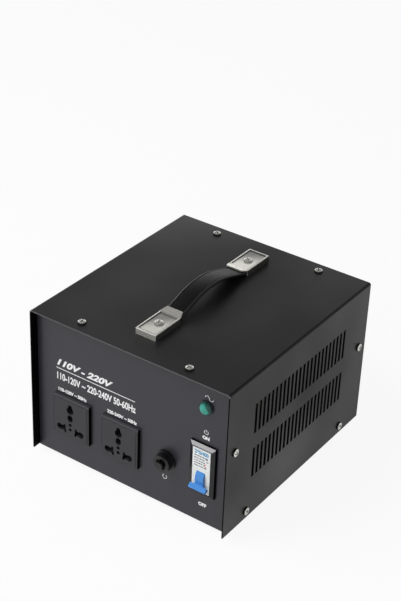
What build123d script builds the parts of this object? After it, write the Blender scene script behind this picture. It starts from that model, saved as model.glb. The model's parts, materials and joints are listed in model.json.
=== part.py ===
from build123d import *
import os
from math import atan2, tan

# Portable step-up and step-down transformer in a bent sheet-steel case with a strap handle.
# Millimetres. +X runs to the right along the front, -Y is the front, +Z is up.
# The origin is on the surface that the feet stand on, below the middle of the case.

# Case
case_width = 212.0
case_depth = 228.5
case_height = 148.5
sheet = 1.2
bend_radius = 2.2          # outside of every bend
panel_recess = 7.5         # front and rear panels behind the cover's edges
sheet_gap = 0.2            # between the cover and the chassis inside it
panel_flange = 15.0        # turned-in edges of the two panels
floor_flange = 16.0        # turned-up edges of the floor
flange_relief = 4.0        # notch between neighbouring flanges
cut_overrun = 2.0          # how far every cut runs past the wall it goes through

# Vents in the cover's sides
vent_count = 24
vent_pitch = 6.28
vent_width = 2.4
vent_length = 29.6
vent_row_heights = dict(lower=57.0, upper=103.0)

# Pan-head screws that hold the cover
screw_radius = 1.95
screw_length = 7.0
screw_head_radius = 3.9
screw_head_height = 2.4
thread_clearance = 0.05
hole_clearance = 0.25
top_screw_x = 57.0
panel_screw_inset = 12.0   # from the cover's front or rear edge
side_screw_height = 85.0
floor_screw_inset = 35.0
floor_screw_height = 8.0
head_crown_share = 0.7
head_rim_share = 0.45

# Rubber feet and their screws
foot_height = 6.0
foot_radius = 9.0
foot_taper = 0.7
foot_bore_radius = 4.6
foot_bore_depth = 3.2
foot_inset = 26.0          # from the sides and the ends of the case
foot_screw_head_radius = 3.8
foot_screw_head_height = 2.0
foot_screw_radius = 1.95
foot_screw_length = 7.0

# Carrying handle
handle_centre_y = 1.0
handle_half_length = 88.0
handle_cap_width = 22.0
handle_cap_length = 35.4
handle_cap_height = 6.0
handle_cap_wall = 1.4
handle_cap_round = 0.8
handle_lip_length = 7.0
handle_lip_rise = 2.2
handle_lip_tip_width = 16.6
handle_panel_depth = 0.9
handle_panel_rim = 1.9
handle_screw_inset = 19.0
handle_screw_radius = 2.5
handle_screw_length = 13.0
handle_screw_head_radius = 4.3
handle_screw_head_height = 2.0
handle_nut_flats = 8.0
handle_nut_height = 4.0
strap_width = 18.6
strap_thickness = 4.0
strap_edge_thickness = 3.2
strap_edge_round = 1.0
strap_clearance = 0.3
strap_tail_inset = 7.0
strap_knee_inset = 1.1     # the strap starts to rise this far inside the caps' inner ends
strap_shoulder_share = 0.2524
strap_rise = 12.0
strap_knee_radius = 24.0
strap_round_share = 0.945  # of the level middle that the upper bends take up
strap_slot_length = 16.0
strap_slot_clearance = 0.7
strap_groove_radius = 0.5
strap_groove_inset = 2.3
core_strip_width = 11.0
core_strip_thickness = 0.8
core_strip_clearance = 0.1

# Front panel: its pieces keep their sizes and share the rest of the width as gaps, from the left
front_gap_shares = dict(side=0.2578, sockets=0.1619, reset=0.2230, breaker=0.1871)

# Universal sockets
socket_height = 46.8
socket_plate_width = 41.0
socket_plate_height = 42.5
socket_rim = 2.8
socket_bevel_depth = 1.7
socket_bevel_width = 2.0
socket_corner = 1.0
socket_face_corner = 0.6
socket_neck_width = 36.0
socket_neck_height = 37.5
socket_neck_depth = 9.0
socket_neck_wall = 1.5
socket_face_back = 2.0     # back of the socket's face behind the panel's outer face
socket_fit = 0.3
socket_base_depth = 18.0
socket_base_floor = 3.6
snap_width = 10.0
snap_length = 5.0
snap_rise = 1.2
snap_gap = 0.1
pin_row_drop = 11.4        # line and neutral openings below the middle
flat_opening_offset = 10.6
flat_opening_width = 7.2
flat_opening_height = 5.0
wide_pin_offset = 12.1
wide_opening_radius = 3.2
round_pin_offset = 9.5
round_opening_radius = 2.6
blade_offset = 6.2
blade_opening_width = 2.2
blade_opening_height = 8.6
blade_slant = 7.0          # degrees, the blades' tops being further apart
earth_top = 16.3
earth_slot_width = 4.4
earth_round_rise = 10.0
earth_round_radius = 3.85
second_rise = 1.6
second_opening_length = 7.4
second_opening_width = 5.8
shutter_hole_radius = 1.7
shutter_hole_drops = (5.5, 10.6)
contact_sheet = 0.6
contact_width = 8.4
contact_front = 3.4        # contacts' front ends behind the panel's outer face
contact_mouth = 6.0
contact_pinch = 4.4
contact_back = 5.6
contact_pinch_depth = 4.0
contact_tail_width = 5.0
contact_tail_thickness = 0.8
contact_tail_length = 8.0
contact_play = 0.25
earth_contact_length = 17.0
socket_screw_x = 13.2
socket_screw_rise = 8.0
socket_boss_radius = 2.6
socket_screw_radius = 1.2
socket_screw_head_radius = 2.3
socket_screw_head_height = 1.5
socket_screw_grip = 5.0

# Reset unit
reset_height = 49.0
reset_body_width = 15.0
reset_body_height = 33.0
reset_body_depth = 28.0
reset_bush_radius = 5.2
reset_bush_length = 6.1
reset_collar_radius = 8.6
reset_collar_taper = 0.4
reset_collar_length = 8.5
reset_flange_radius = 10.0
reset_flange_height = 2.2
reset_collar_round = 0.7
reset_button_radius = 3.8
reset_button_reach = 12.0  # button's end in front of the panel
reset_button_length = 14.0
reset_button_round = 0.6
reset_running_fit = 0.08
reset_stem_radius = 1.5
reset_stem_length = 12.0
reset_travel = 3.0
reset_seat_depth = 12.0
reset_spring_wire = 0.5
reset_spring_radius = 2.9
reset_spring_turns = 6
reset_spring_gap = 0.1
reset_tab_width = 6.3
reset_tab_thickness = 0.8
reset_tab_length = 8.0
reset_tab_root = 4.0
reset_tab_offset = 9.0

# Indicator lamp
lamp_shift = 0.5           # to the right of the breaker's middle
lamp_rise_share = 0.462    # of the height left above the breaker
lamp_barrel_radius = 4.9
lamp_barrel_length = 20.0
lamp_barrel_wall = 0.9
lamp_rim_radius = 6.8
lamp_rim_height = 1.2
lamp_lens_radius = 6.1
lamp_lens_skirt = 1.2
lamp_lens_dome = 3.0
lamp_lens_wall = 1.0
lamp_bulb_radius = 2.4
lamp_bulb_length = 11.0
lamp_bulb_base = 4.0
lamp_nut_flats = 14.0
lamp_nut_height = 3.5

# Power breaker
breaker_height = 57.8
bezel_width = 26.6
bezel_height = 52.6
bezel_wall = 1.6
bezel_bevel_depth = 2.6
bezel_bevel_width = 3.7
nose_width = 18.2
nose_height = 44.8
nose_reach = 4.0
nose_clearance = 0.2
nose_depth = 16.5
shoulder_slope = 2.0
breaker_body_height = 81.0
breaker_body_width = 17.6
breaker_body_back = 58.0
rail_width = 35.0
rail_sheet = 1.0
rail_hat_width = 25.0
rail_hat_depth = 7.5
rail_length = 36.0
rail_hook_depth = 4.5
rail_hook_width = 5.0
rail_hook_lip = 1.3
rail_clearance = 0.15
bracket_sheet = 1.5
bracket_foot = 20.0
bracket_top_share = 0.5    # of the rail's width, above the rail's middle
bracket_screw_radius = 1.95
bracket_screw_length = 7.0
toggle_drop = 8.3          # toggle's pivot below the breaker's middle
toggle_pivot_depth = 3.0   # pivot behind the panel's outer face
toggle_drum_radius = 9.8
toggle_drum_width = 8.2
toggle_side_clearance = 0.3
toggle_drum_clearance = 0.35
toggle_rest_angle = 36.0   # degrees below the line straight out of the panel
toggle_bar_width = 17.2
toggle_bar_start = 11.1    # from the pivot
toggle_reach = 15.6        # the bar's outer edge, from the pivot
toggle_root_thickness = 2.6
toggle_bar_thickness = 3.4
toggle_tip_thickness = 2.2
toggle_flare_start = 9.2   # from the pivot
toggle_flare_radius = 2.4
toggle_bar_round = 0.6
toggle_pin_radius = 1.2
toggle_pin_length = 14.0
toggle_pin_fit = 0.06
pin_seat_fit = 0.02
clamp_width = 9.4
clamp_depth = 9.0
clamp_length = 10.0
clamp_inset = 2.5          # clamp below the body's end
clamp_back = 22.0          # middle of the clamp behind the panel's outer face
clamp_window_share = 0.55
clamp_play = 0.2
clamp_screw_radius = 2.4
clamp_screw_head_radius = 3.4
clamp_screw_head_height = 3.0
clamp_entry_radius = 3.2

# Rear panel: voltage selector and cable gland
selector_inset = 44.0      # from the side of the case
selector_height = 36.0
selector_flange_width = 37.0
selector_flange_height = 16.0
selector_flange_depth = 2.0
selector_body_width = 26.0
selector_body_height = 12.0
selector_body_depth = 14.0
selector_pocket_width = 18.0
selector_pocket_height = 8.0
selector_pocket_depth = 7.0
selector_screw_pitch = 31.0
selector_screw_radius = 1.45
selector_screw_head_radius = 2.7
selector_screw_head_height = 1.4
selector_screw_length = 6.0
selector_travel = 6.0
selector_slider_depth = 4.6
selector_play = 0.3
selector_tab_width = 2.8
selector_tab_thickness = 0.6
selector_tab_length = 6.0
selector_tab_pitch = 8.0
gland_inset = 44.0         # from the other side of the case
gland_height = 36.0
gland_bore_radius = 4.6
gland_barrel_radius = 7.4
gland_barrel_length = 12.0
gland_collar_flats = 19.0
gland_collar_height = 4.0
gland_neck_radius = 7.0
gland_neck_length = 7.0
gland_cap_radius = 9.0
gland_cap_length = 9.4
gland_cap_round = 2.5
gland_nut_flats = 20.0
gland_nut_height = 4.0

# Transformer
core_head_room = 27.3      # from the top of the core to the top of the case
core_stack = 76.0
core_y = 26.0
core_bolt_radius = 2.9
core_bolt_clearance = 0.3
core_bolt_head_flats = 10.0
core_bolt_head_height = 4.0
clamp_nut_flats = 10.0
clamp_nut_height = 5.0
core_bolt_tail = 3.0
clamp_angle_sheet = 2.5
clamp_angle_leg = 20.0
clamp_angle_foot = 18.0
bobbin_wall = 1.5
bobbin_clearance = 0.3
bobbin_flange = 2.0
winding_round = 9.0
winding_side_gap = 3.9     # between the wound coil and the core's outer legs
winding_gap = 0.2
tape_thickness = 0.8
mounting_bolt_gap = 18.0   # sideways from the core bolts
mounting_bolt_radius = 2.9
mounting_bolt_head_radius = 5.0
mounting_bolt_head_height = 2.8

# Terminal block
block_shift = 10.75        # to the right of the middle between the sockets
block_core_gap = 25.0      # in front of the core
block_pitch = 13.0
block_poles = 6
block_end = 5.0
block_depth = 20.0
block_height = 15.0
block_barrier = 2.0
block_step = 5.0
block_screw_radius = 1.9
block_screw_head_radius = 3.4
block_screw_head_height = 2.2
block_screw_length = 6.0
block_screw_offset = 5.4

# Leads inside the case
lead_radius = 1.25
lead_bend = 5.0
lead_short_bend = 3.0
lead_tail_gap = 9.0        # straight run behind the tab or screw that a lead ends on
lead_breaker_gap = 8.5     # leads pass this far above and below the breaker
lead_winding_rise = 6.0    # lowest lead out of the winding, above its lower end
lead_winding_step = 9.0
lead_wall_gap = 4.3        # earth lead beside the case's right side
lead_wall_drop = 13.0      # of that lead, below the transformer's top
lead_panel_drop = 15.0
lead_lamp_step = 10.0      # between the two leads of the lamp, back and down

# Places worked out from the sizes above
half_width = case_width / 2
half_depth = case_depth / 2
floor_bottom = foot_height
floor_top = floor_bottom + sheet
cover_top = floor_bottom + case_height
panel_y = half_depth - panel_recess
chassis_half_width = half_width - sheet - sheet_gap
chassis_height = case_height - sheet - sheet_gap
strap_knee_y = handle_half_length - handle_cap_length - strap_knee_inset
strap_shoulder_y = strap_knee_y * strap_shoulder_share
socket_proud = socket_rim + socket_bevel_depth
front_free = case_width - 2 * socket_plate_width - 2 * reset_flange_radius - bezel_width
left_socket_x = front_free * front_gap_shares["side"] + socket_plate_width / 2 - half_width
right_socket_x = left_socket_x + socket_plate_width + front_free * front_gap_shares["sockets"]
reset_left = right_socket_x + socket_plate_width / 2 + front_free * front_gap_shares["reset"]
reset_x = reset_left + reset_flange_radius
breaker_x = reset_x + reset_flange_radius + front_free * front_gap_shares["breaker"] + bezel_width / 2
lamp_x = breaker_x + lamp_shift
breaker_top = breaker_height + breaker_body_height / 2
lamp_height = breaker_top + (case_height - breaker_top) * lamp_rise_share
selector_x = half_width - selector_inset
gland_x = gland_inset - half_width
core_height = case_height - sheet - core_head_room
core_module = core_height / 5
core_width = 6 * core_module
core_bolt_x = core_width / 2 - core_module / 2
mounting_bolt_x = core_bolt_x - mounting_bolt_gap
core_front = core_y - core_stack / 2
core_back = core_y + core_stack / 2
core_top = floor_top + core_height
block_x = (left_socket_x + right_socket_x) / 2 + block_shift
block_y = core_front - block_core_gap - block_depth / 2
block_deck = floor_top + block_height - block_step
bobbin_low = floor_top + core_module + bobbin_clearance
bobbin_high = floor_top + 4 * core_module - bobbin_clearance
winding_depth = core_module - bobbin_clearance - bobbin_wall - tape_thickness - winding_side_gap
wound_half_depth = core_stack / 2 + bobbin_clearance + bobbin_wall + winding_depth
tape_front = core_y - wound_half_depth - tape_thickness

# Plane seen from the side: x out of the front panel, y up
side_view = Plane(origin=(0, 0, 0), x_dir=(0, 0, 1), z_dir=(-1, 0, 0))


def on_front(x, height):
    # Plane on the front panel: x to the right, y up, z out of the panel.
    return Plane(origin=(x, -panel_y, floor_bottom + height), x_dir=(1, 0, 0), z_dir=(0, -1, 0))


def on_rear(x, height):
    # The same on the rear panel, seen from behind.
    return Plane(origin=(-x, panel_y, floor_bottom + height), x_dir=(-1, 0, 0), z_dir=(0, 1, 0))


def prism(outline, low, high):
    return Pos(0, 0, low) * extrude(outline, high - low)


def disc(radius, low, high):
    return prism(Circle(radius), low, high)


def turned(*points):
    # Solid of revolution about Z from points given as (radius, height).
    return revolve(Plane.XZ * make_face(Polyline(*points, close=True)), Axis.Z)


def hexagon(flats):
    return RegularPolygon(flats / 2, 6, major_radius=False)


def screw(head_radius, head_height, radius, length):
    # Pan head above z = 0 and shank below it.
    return turned(
        (0, -length),
        (radius, -length),
        (radius, 0),
        (head_radius, 0),
        (head_radius, head_height * head_rim_share),
        (head_radius * head_crown_share, head_height),
        (0, head_height),
    )


def nut(flats, radius, height):
    # Hexagon nut below z = 0.
    return prism(hexagon(flats) - Circle(radius + thread_clearance), -height, 0)


def strip(points, thickness, width):
    # Sheet strip bent along points in the plane, as wide as width about that plane.
    return Pos(0, 0, -width / 2) * extrude(trace(Polyline(*points), line_width=thickness), width)


def group(shapes):
    return Compound([solid for shape in shapes for solid in shape.solids()])


def arch(width, height, radius):
    # Outline of a wall standing on the x axis, with its two upper corners rounded.
    outline = Rectangle(width, height, align=(Align.CENTER, Align.MIN))
    return fillet(outline.vertices().group_by(Axis.Y)[-1], radius)


def cover_screw_seats():
    # Planes on the cover where a screw head sits, z pointing out of the case.
    seats = []
    for end in (-1, 1):
        panel_screw_y = end * (half_depth - panel_screw_inset)
        floor_screw_y = end * (half_depth - floor_screw_inset)
        for side in (-1, 1):
            seats.append(Plane(origin=(side * top_screw_x, panel_screw_y, cover_top), z_dir=(0, 0, 1)))
            for y, height in ((panel_screw_y, side_screw_height), (floor_screw_y, floor_screw_height)):
                spot = (side * half_width, y, floor_bottom + height)
                seats.append(Plane(origin=spot, z_dir=(side, 0, 0)))
    return seats


def handle_screw_seats():
    reach = handle_half_length - handle_screw_inset
    return [Pos(0, handle_centre_y + end * reach, cover_top) for end in (-1, 1)]


def foot_seats():
    x = half_width - foot_inset
    y = half_depth - foot_inset
    return [Pos(side * x, end * y, 0) for side in (-1, 1) for end in (-1, 1)]


def mounting_seats():
    # Bolts through the floor and the feet of the transformer's lower clamps.
    reach = clamp_angle_sheet + clamp_angle_foot / 2
    rows = (core_front - reach, core_back + reach)
    return [Pos(side * mounting_bolt_x, y, floor_bottom) for side in (-1, 1) for y in rows]


def bracket_seats():
    y = -panel_y + breaker_body_back + rail_hat_depth - bracket_foot / 2
    return [Pos(breaker_x + side * rail_length / 4, y, floor_top) for side in (-1, 1)]


def cover():
    outer = arch(case_width, case_height, bend_radius)
    inner = arch(case_width - 2 * sheet, case_height - sheet, bend_radius - sheet)
    shell = Pos(0, 0, floor_bottom) * extrude(Plane.XZ * (outer - inner), half_depth, both=True)
    first = -vent_pitch * (vent_count - 1) / 2
    slot = SlotOverall(vent_length, vent_width, rotation=90)
    cutter = Plane.YZ * extrude(slot, half_width + cut_overrun, both=True)
    vents = []
    for height in vent_row_heights.values():
        for index in range(vent_count):
            vents.append(Pos(0, first + index * vent_pitch, floor_bottom + height) * cutter)
    hole = disc(screw_radius + hole_clearance, -cut_overrun, cut_overrun)
    handle_hole = disc(handle_screw_radius + hole_clearance, -cut_overrun, cut_overrun)
    holes = [seat * hole for seat in cover_screw_seats()]
    holes += [seat * handle_hole for seat in handle_screw_seats()]
    return shell - vents - holes


def floor_section(width):
    # Section of a sheet with both edges turned up, standing on the x axis.
    outer = arch(width, floor_flange, bend_radius)
    inner = arch(width - 2 * sheet, floor_flange - sheet, bend_radius - sheet)
    return Pos(0, floor_flange) * mirror(outer - inner, Plane.XZ)


def screw_holes():
    # Holes for the cover's screws, in the floor's and the panels' turned edges.
    return [seat * disc(screw_radius + thread_clearance, -screw_length, 0) for seat in cover_screw_seats()]


def chassis():
    # Floor with its four edges turned up; the panels are welded to the ones at the front and the rear.
    inset = chassis_half_width - sheet - flange_relief
    long = panel_y - panel_flange - flange_relief
    body = extrude(Plane.YZ * floor_section(2 * (panel_y - sheet)), inset, both=True)
    body += extrude(Plane.XZ * floor_section(2 * chassis_half_width), long, both=True)
    body = Pos(0, 0, floor_bottom) * body

    cutters = screw_holes()
    for seat in foot_seats():
        cutters.append(seat * disc(foot_screw_radius + thread_clearance, 0, floor_top + cut_overrun))
    for seat in mounting_seats():
        cutters.append(seat * disc(mounting_bolt_radius + hole_clearance, -cut_overrun, 2 * cut_overrun))
    for seat in bracket_seats():
        cutters.append(seat * disc(bracket_screw_radius + thread_clearance, -2 * cut_overrun, cut_overrun))
    return body - cutters


def end_panel(end):
    # Panel at the front (-1) or the rear (1), with its top and side edges turned in.
    outer = arch(2 * panel_y, chassis_height, bend_radius)
    inner = arch(2 * (panel_y - sheet), chassis_height - sheet, bend_radius - sheet)
    middle_y = end * (panel_y - panel_flange / 2)
    near = Pos(middle_y, chassis_height / 2) * Rectangle(panel_flange, chassis_height)
    body = extrude(Plane.YZ * ((outer - inner) & near), chassis_half_width, both=True)
    wall_x = chassis_half_width - sheet / 2
    tall = chassis_height - 2 * (sheet + flange_relief)
    for side in (-1, 1):
        body += Pos(side * wall_x, middle_y, chassis_height / 2) * Box(sheet, panel_flange, tall)
    bends = body.edges().filter_by(Axis.Z).filter_by(lambda edge: edge.length > tall - flange_relief)
    outside = [e for e in bends if abs(abs(e.center().Y) - panel_y) < sheet / 4]
    return Pos(0, 0, floor_bottom) * fillet(outside, bend_radius - sheet)


def front_panel():
    through = 2 * cut_overrun
    cutters = screw_holes()
    neck = Rectangle(socket_neck_width + 2 * socket_fit, socket_neck_height + 2 * socket_fit)
    for x in (left_socket_x, right_socket_x):
        cutters.append(on_front(x, socket_height) * prism(neck, -through, through))
    window = Rectangle(nose_width + 2 * nose_clearance, nose_height + 2 * nose_clearance)
    cutters.append(on_front(breaker_x, breaker_height) * prism(window, -through, through))
    reset_hole = disc(reset_bush_radius + nose_clearance, -through, through)
    cutters.append(on_front(reset_x, reset_height) * reset_hole)
    lamp_hole = disc(lamp_barrel_radius + thread_clearance, -through, through)
    cutters.append(on_front(lamp_x, lamp_height) * lamp_hole)
    return end_panel(-1) - cutters


def rear_panel():
    through = 2 * cut_overrun
    cutters = screw_holes()
    selector = Rectangle(selector_body_width + 2 * selector_play, selector_body_height + 2 * selector_play)
    cutters.append(on_rear(selector_x, selector_height) * prism(selector, -through, through))
    screw_hole = disc(selector_screw_radius + thread_clearance, -through, through)
    for side in (-1, 1):
        hole = Pos(side * selector_screw_pitch / 2, 0, 0) * screw_hole
        cutters.append(on_rear(selector_x, selector_height) * hole)
    gland_hole = disc(gland_barrel_radius + nose_clearance, -through, through)
    cutters.append(on_rear(gland_x, gland_height) * gland_hole)
    return end_panel(1) - cutters


def cover_screws():
    one = screw(screw_head_radius, screw_head_height, screw_radius, screw_length)
    return group([seat * one for seat in cover_screw_seats()])


def rubber_feet():
    one = turned(
        (foot_screw_radius + hole_clearance, foot_height),
        (foot_radius, foot_height),
        (foot_radius - foot_taper, 0),
        (foot_bore_radius, 0),
        (foot_bore_radius, foot_bore_depth),
        (foot_screw_radius + hole_clearance, foot_bore_depth),
    )
    return group([seat * one for seat in foot_seats()])


def foot_screws():
    one = screw(foot_screw_head_radius, foot_screw_head_height, foot_screw_radius, foot_screw_length)
    head_down = Pos(0, 0, foot_bore_depth) * Rot(180, 0, 0) * one
    return group([seat * head_down for seat in foot_seats()])


def handle_cap():
    # Cap of the handle with its outer end at the origin, its length along +Y and open below.
    length = handle_cap_length
    reach = handle_cap_length + handle_lip_length
    rise = handle_cap_height + handle_lip_rise
    side = Polyline(
        (0, 0),
        (0, handle_cap_height),
        (length, handle_cap_height),
        (reach, rise),
        (reach, rise - handle_cap_wall),
        (length, handle_cap_height - handle_cap_wall),
        (length, 0),
        close=True,
    )
    body = extrude(Plane.YZ * make_face(side), handle_cap_width / 2, both=True)
    round_edges = body.edges().filter_by(lambda e: e.center().Z > handle_cap_height / 4
                                         and e.center().Y < length - handle_cap_round
                                         and (e.center().Z > handle_cap_height - handle_cap_wall
                                              or abs(e.center().Y) < handle_cap_round))
    body = fillet(round_edges, handle_cap_round)
    half = handle_cap_width / 2
    tip = handle_lip_tip_width / 2
    for hand in (-1, 1):
        corner = Polyline((hand * half, length), (hand * tip, reach), (hand * half, reach), close=True)
        body -= prism(make_face(corner), 0, rise + cut_overrun)
    hollow_width = handle_cap_width - 2 * handle_cap_wall
    hollow_height = handle_cap_height - handle_cap_wall
    hollow = Pos(0, handle_cap_wall, 0) * Box(hollow_width, reach, hollow_height,
                                              align=(Align.CENTER, Align.MIN, Align.MIN))
    sunk_width = handle_cap_width - 2 * handle_panel_rim
    sunk_length = length - 2 * handle_panel_rim
    sunk = Pos(0, handle_panel_rim, handle_cap_height - handle_panel_depth) * Box(
        sunk_width, sunk_length, handle_panel_depth + cut_overrun, align=(Align.CENTER, Align.MIN, Align.MIN))
    hole = Pos(0, handle_screw_inset, 0) * disc(handle_screw_radius + hole_clearance, 0, rise + cut_overrun)
    return body - hollow - sunk - hole


def handle_path():
    # Middle line of the strap seen from the side, as (y, height above the cover).
    low = strap_clearance + strap_thickness / 2
    tail = handle_half_length - strap_tail_inset
    points = [(-tail, low), (-strap_knee_y, low), (-strap_shoulder_y, low + strap_rise)]
    points += [(-y, height) for y, height in reversed(points)]
    slope = atan2(strap_rise, strap_knee_y - strap_shoulder_y)
    shoulder_radius = strap_shoulder_y * strap_round_share / tan(slope / 2)
    radii = [strap_knee_radius, shoulder_radius, shoulder_radius, strap_knee_radius]
    line = FilletPolyline(*[(0, y, height) for y, height in points], radius=radii)
    return Pos(0, handle_centre_y, cover_top) * line


def strap_section():
    # Cross-section of the strap: crowned above and below, with a groove near each edge.
    half = strap_width / 2
    edge = strap_edge_thickness / 2
    crown = strap_thickness / 2
    outline = [
        ThreePointArc((-half, edge), (0, crown), (half, edge)),
        Line((half, edge), (half, -edge)),
        ThreePointArc((half, -edge), (0, -crown), (-half, -edge)),
        Line((-half, -edge), (-half, edge)),
    ]
    face = make_face(outline)
    face = fillet(face.vertices(), strap_edge_round)
    for hand in (-1, 1):
        x = hand * (half - strap_groove_inset)
        share = (x / half) ** 2
        face -= Pos(x, crown - (crown - edge) * share) * Circle(strap_groove_radius)
    return face


def strap_slots(width):
    reach = handle_half_length - handle_screw_inset
    slot = SlotOverall(strap_slot_length, width, rotation=90)
    low = cover_top
    high = cover_top + handle_cap_height
    return [Pos(0, handle_centre_y + end * reach, 0) * prism(slot, low, high) for end in (-1, 1)]


def swept_strip(section):
    path = handle_path()
    start = Plane(origin=path @ 0, x_dir=(1, 0, 0), z_dir=path % 0)
    return sweep(start * section, path=path)


def handle_strap():
    pocket = Rectangle(core_strip_width + 2 * core_strip_clearance,
                       core_strip_thickness + 2 * core_strip_clearance)
    width = 2 * (handle_screw_radius + strap_slot_clearance)
    return swept_strip(strap_section() - pocket) - strap_slots(width)


def handle_core():
    width = 2 * (handle_screw_radius + strap_slot_clearance)
    return swept_strip(Rectangle(core_strip_width, core_strip_thickness)) - strap_slots(width)


def handle_parts():
    front = Pos(0, handle_centre_y - handle_half_length, cover_top) * handle_cap()
    rear = Pos(0, handle_centre_y + handle_half_length, cover_top) * Rot(0, 0, 180) * handle_cap()
    head_seat = Pos(0, 0, handle_cap_height - handle_panel_depth)
    bolt = screw(handle_screw_head_radius, handle_screw_head_height, handle_screw_radius, handle_screw_length)
    bolts = [seat * head_seat * bolt for seat in handle_screw_seats()]
    hex_nut = Pos(0, 0, -sheet) * nut(handle_nut_flats, handle_screw_radius, handle_nut_height)
    nuts = [seat * hex_nut for seat in handle_screw_seats()]
    return {
        "front_handle_cap": front,
        "rear_handle_cap": rear,
        "handle_strap": handle_strap(),
        "handle_core": handle_core(),
        "handle_screws": group(bolts),
        "handle_nuts": group(nuts),
    }


def pin_openings():
    # Openings of a universal socket, for flat, round and blade pins and two kinds of earth pin.
    outline = Sketch()
    for hand in (-1, 1):
        row = Pos(0, -pin_row_drop)
        slot = Rectangle(flat_opening_width, flat_opening_height)
        outline += row * Pos(hand * flat_opening_offset, 0) * slot
        outline += row * Pos(hand * wide_pin_offset, 0) * Circle(wide_opening_radius)
        outline += row * Pos(hand * round_pin_offset, 0) * Circle(round_opening_radius)
        blade = Rectangle(blade_opening_width, blade_opening_height)
        outline += row * Pos(hand * blade_offset, 0) * Rot(0, 0, -hand * blade_slant) * blade
    slot_low = earth_round_rise - earth_slot_width / 2
    slot = SlotOverall(earth_top - slot_low, earth_slot_width, rotation=90)
    outline += Pos(0, (earth_top + slot_low) / 2) * slot
    outline += Pos(0, earth_round_rise) * Circle(earth_round_radius)
    outline += Pos(0, second_rise) * SlotOverall(second_opening_length, second_opening_width, rotation=90)
    for drop in shutter_hole_drops:
        outline += Pos(0, -drop) * Circle(shutter_hole_radius)
    return outline


def socket_screw_spots():
    return [Pos(hand * socket_screw_x, socket_screw_rise, 0) for hand in (-1, 1)]


def socket_face():
    outline = RectangleRounded(socket_plate_width, socket_plate_height, socket_corner)
    top = RectangleRounded(socket_plate_width - 2 * socket_bevel_width,
                           socket_plate_height - 2 * socket_bevel_width, socket_face_corner)
    plate = prism(outline, 0, socket_rim)
    plate += loft([Pos(0, 0, socket_rim) * outline, Pos(0, 0, socket_proud) * top], ruled=True)
    neck = prism(Rectangle(socket_neck_width, socket_neck_height), -socket_neck_depth, 0)
    inner = Rectangle(socket_neck_width - 2 * socket_neck_wall, socket_neck_height - 2 * socket_neck_wall)
    body = plate + neck - prism(inner, -socket_neck_depth, -socket_face_back)
    for spot in socket_screw_spots():
        body += spot * disc(socket_boss_radius, -socket_neck_depth, -socket_face_back)
        bore = disc(socket_screw_radius + thread_clearance, -socket_neck_depth,
                    socket_screw_grip - socket_neck_depth)
        body -= spot * bore
    catch_top = -sheet - snap_gap
    catch_end = catch_top - snap_length
    catch = make_face(Polyline((0, catch_top), (snap_rise, catch_top), (0, catch_end), close=True))
    for hand in (-1, 1):
        wedge = extrude(Plane.XZ * catch, snap_width / 2, both=True)
        if hand < 0:
            wedge = mirror(wedge, Plane.YZ)
        body += Pos(hand * socket_neck_width / 2, 0, 0) * wedge
    return body - prism(pin_openings(), -socket_face_back - cut_overrun, socket_proud + cut_overrun)


def contact_profile():
    # Spring clip seen from the side: two leaves from the mouth back to the web, as (depth, half opening).
    web = socket_neck_depth + socket_base_depth - socket_base_floor - contact_sheet / 2
    upper = [
        (-contact_front, contact_mouth / 2),
        (-contact_front - contact_pinch_depth, contact_pinch / 2),
        (-web, contact_back / 2),
    ]
    return upper + [(depth, -half) for depth, half in reversed(upper)]


def contact_tail():
    start = -(socket_neck_depth + socket_base_depth - socket_base_floor)
    end = -(socket_neck_depth + socket_base_depth) - contact_tail_length
    return prism(Rectangle(contact_tail_width, contact_tail_thickness), end, start)


def pin_contact():
    # Leaves above and below the pin.
    clip = strip(contact_profile(), contact_sheet, contact_width)
    stand = Plane(origin=(0, 0, 0), x_dir=(0, 0, 1), z_dir=(1, 0, 0))
    return stand * clip + contact_tail()


def earth_contact():
    # Leaves to the left and right of the pin, long enough for both earth openings.
    clip = strip(contact_profile(), contact_sheet, earth_contact_length)
    stand = Plane(origin=(0, 0, 0), x_dir=(0, 0, 1), z_dir=(0, 1, 0))
    return stand * clip + contact_tail()


def socket_base():
    back = -(socket_neck_depth + socket_base_depth)
    floor = back + socket_base_floor
    body = prism(Rectangle(socket_neck_width, socket_neck_height), back, -socket_neck_depth)
    play = 2 * contact_play
    span = contact_mouth + contact_sheet + play
    tail = Rectangle(contact_tail_width + play, contact_tail_thickness + play)
    pockets = Sketch()
    tails = Sketch()
    for hand in (-1, 1):
        spot = Pos(hand * round_pin_offset, -pin_row_drop)
        pockets += spot * Rectangle(contact_width + play, span)
        tails += spot * tail
    earth_spot = Pos(0, earth_contact_rise())
    pockets += earth_spot * Rectangle(span, earth_contact_length + play)
    tails += earth_spot * tail
    body -= prism(pockets, floor, -socket_neck_depth + cut_overrun)
    body -= prism(tails, back - cut_overrun, floor + cut_overrun)
    hole = disc(socket_screw_radius + hole_clearance, back - cut_overrun, -socket_neck_depth + cut_overrun)
    return body - [spot * hole for spot in socket_screw_spots()]


def earth_contact_rise():
    # Middle of the earth contact, so that it covers both earth openings.
    return earth_top - earth_contact_length / 2


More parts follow.
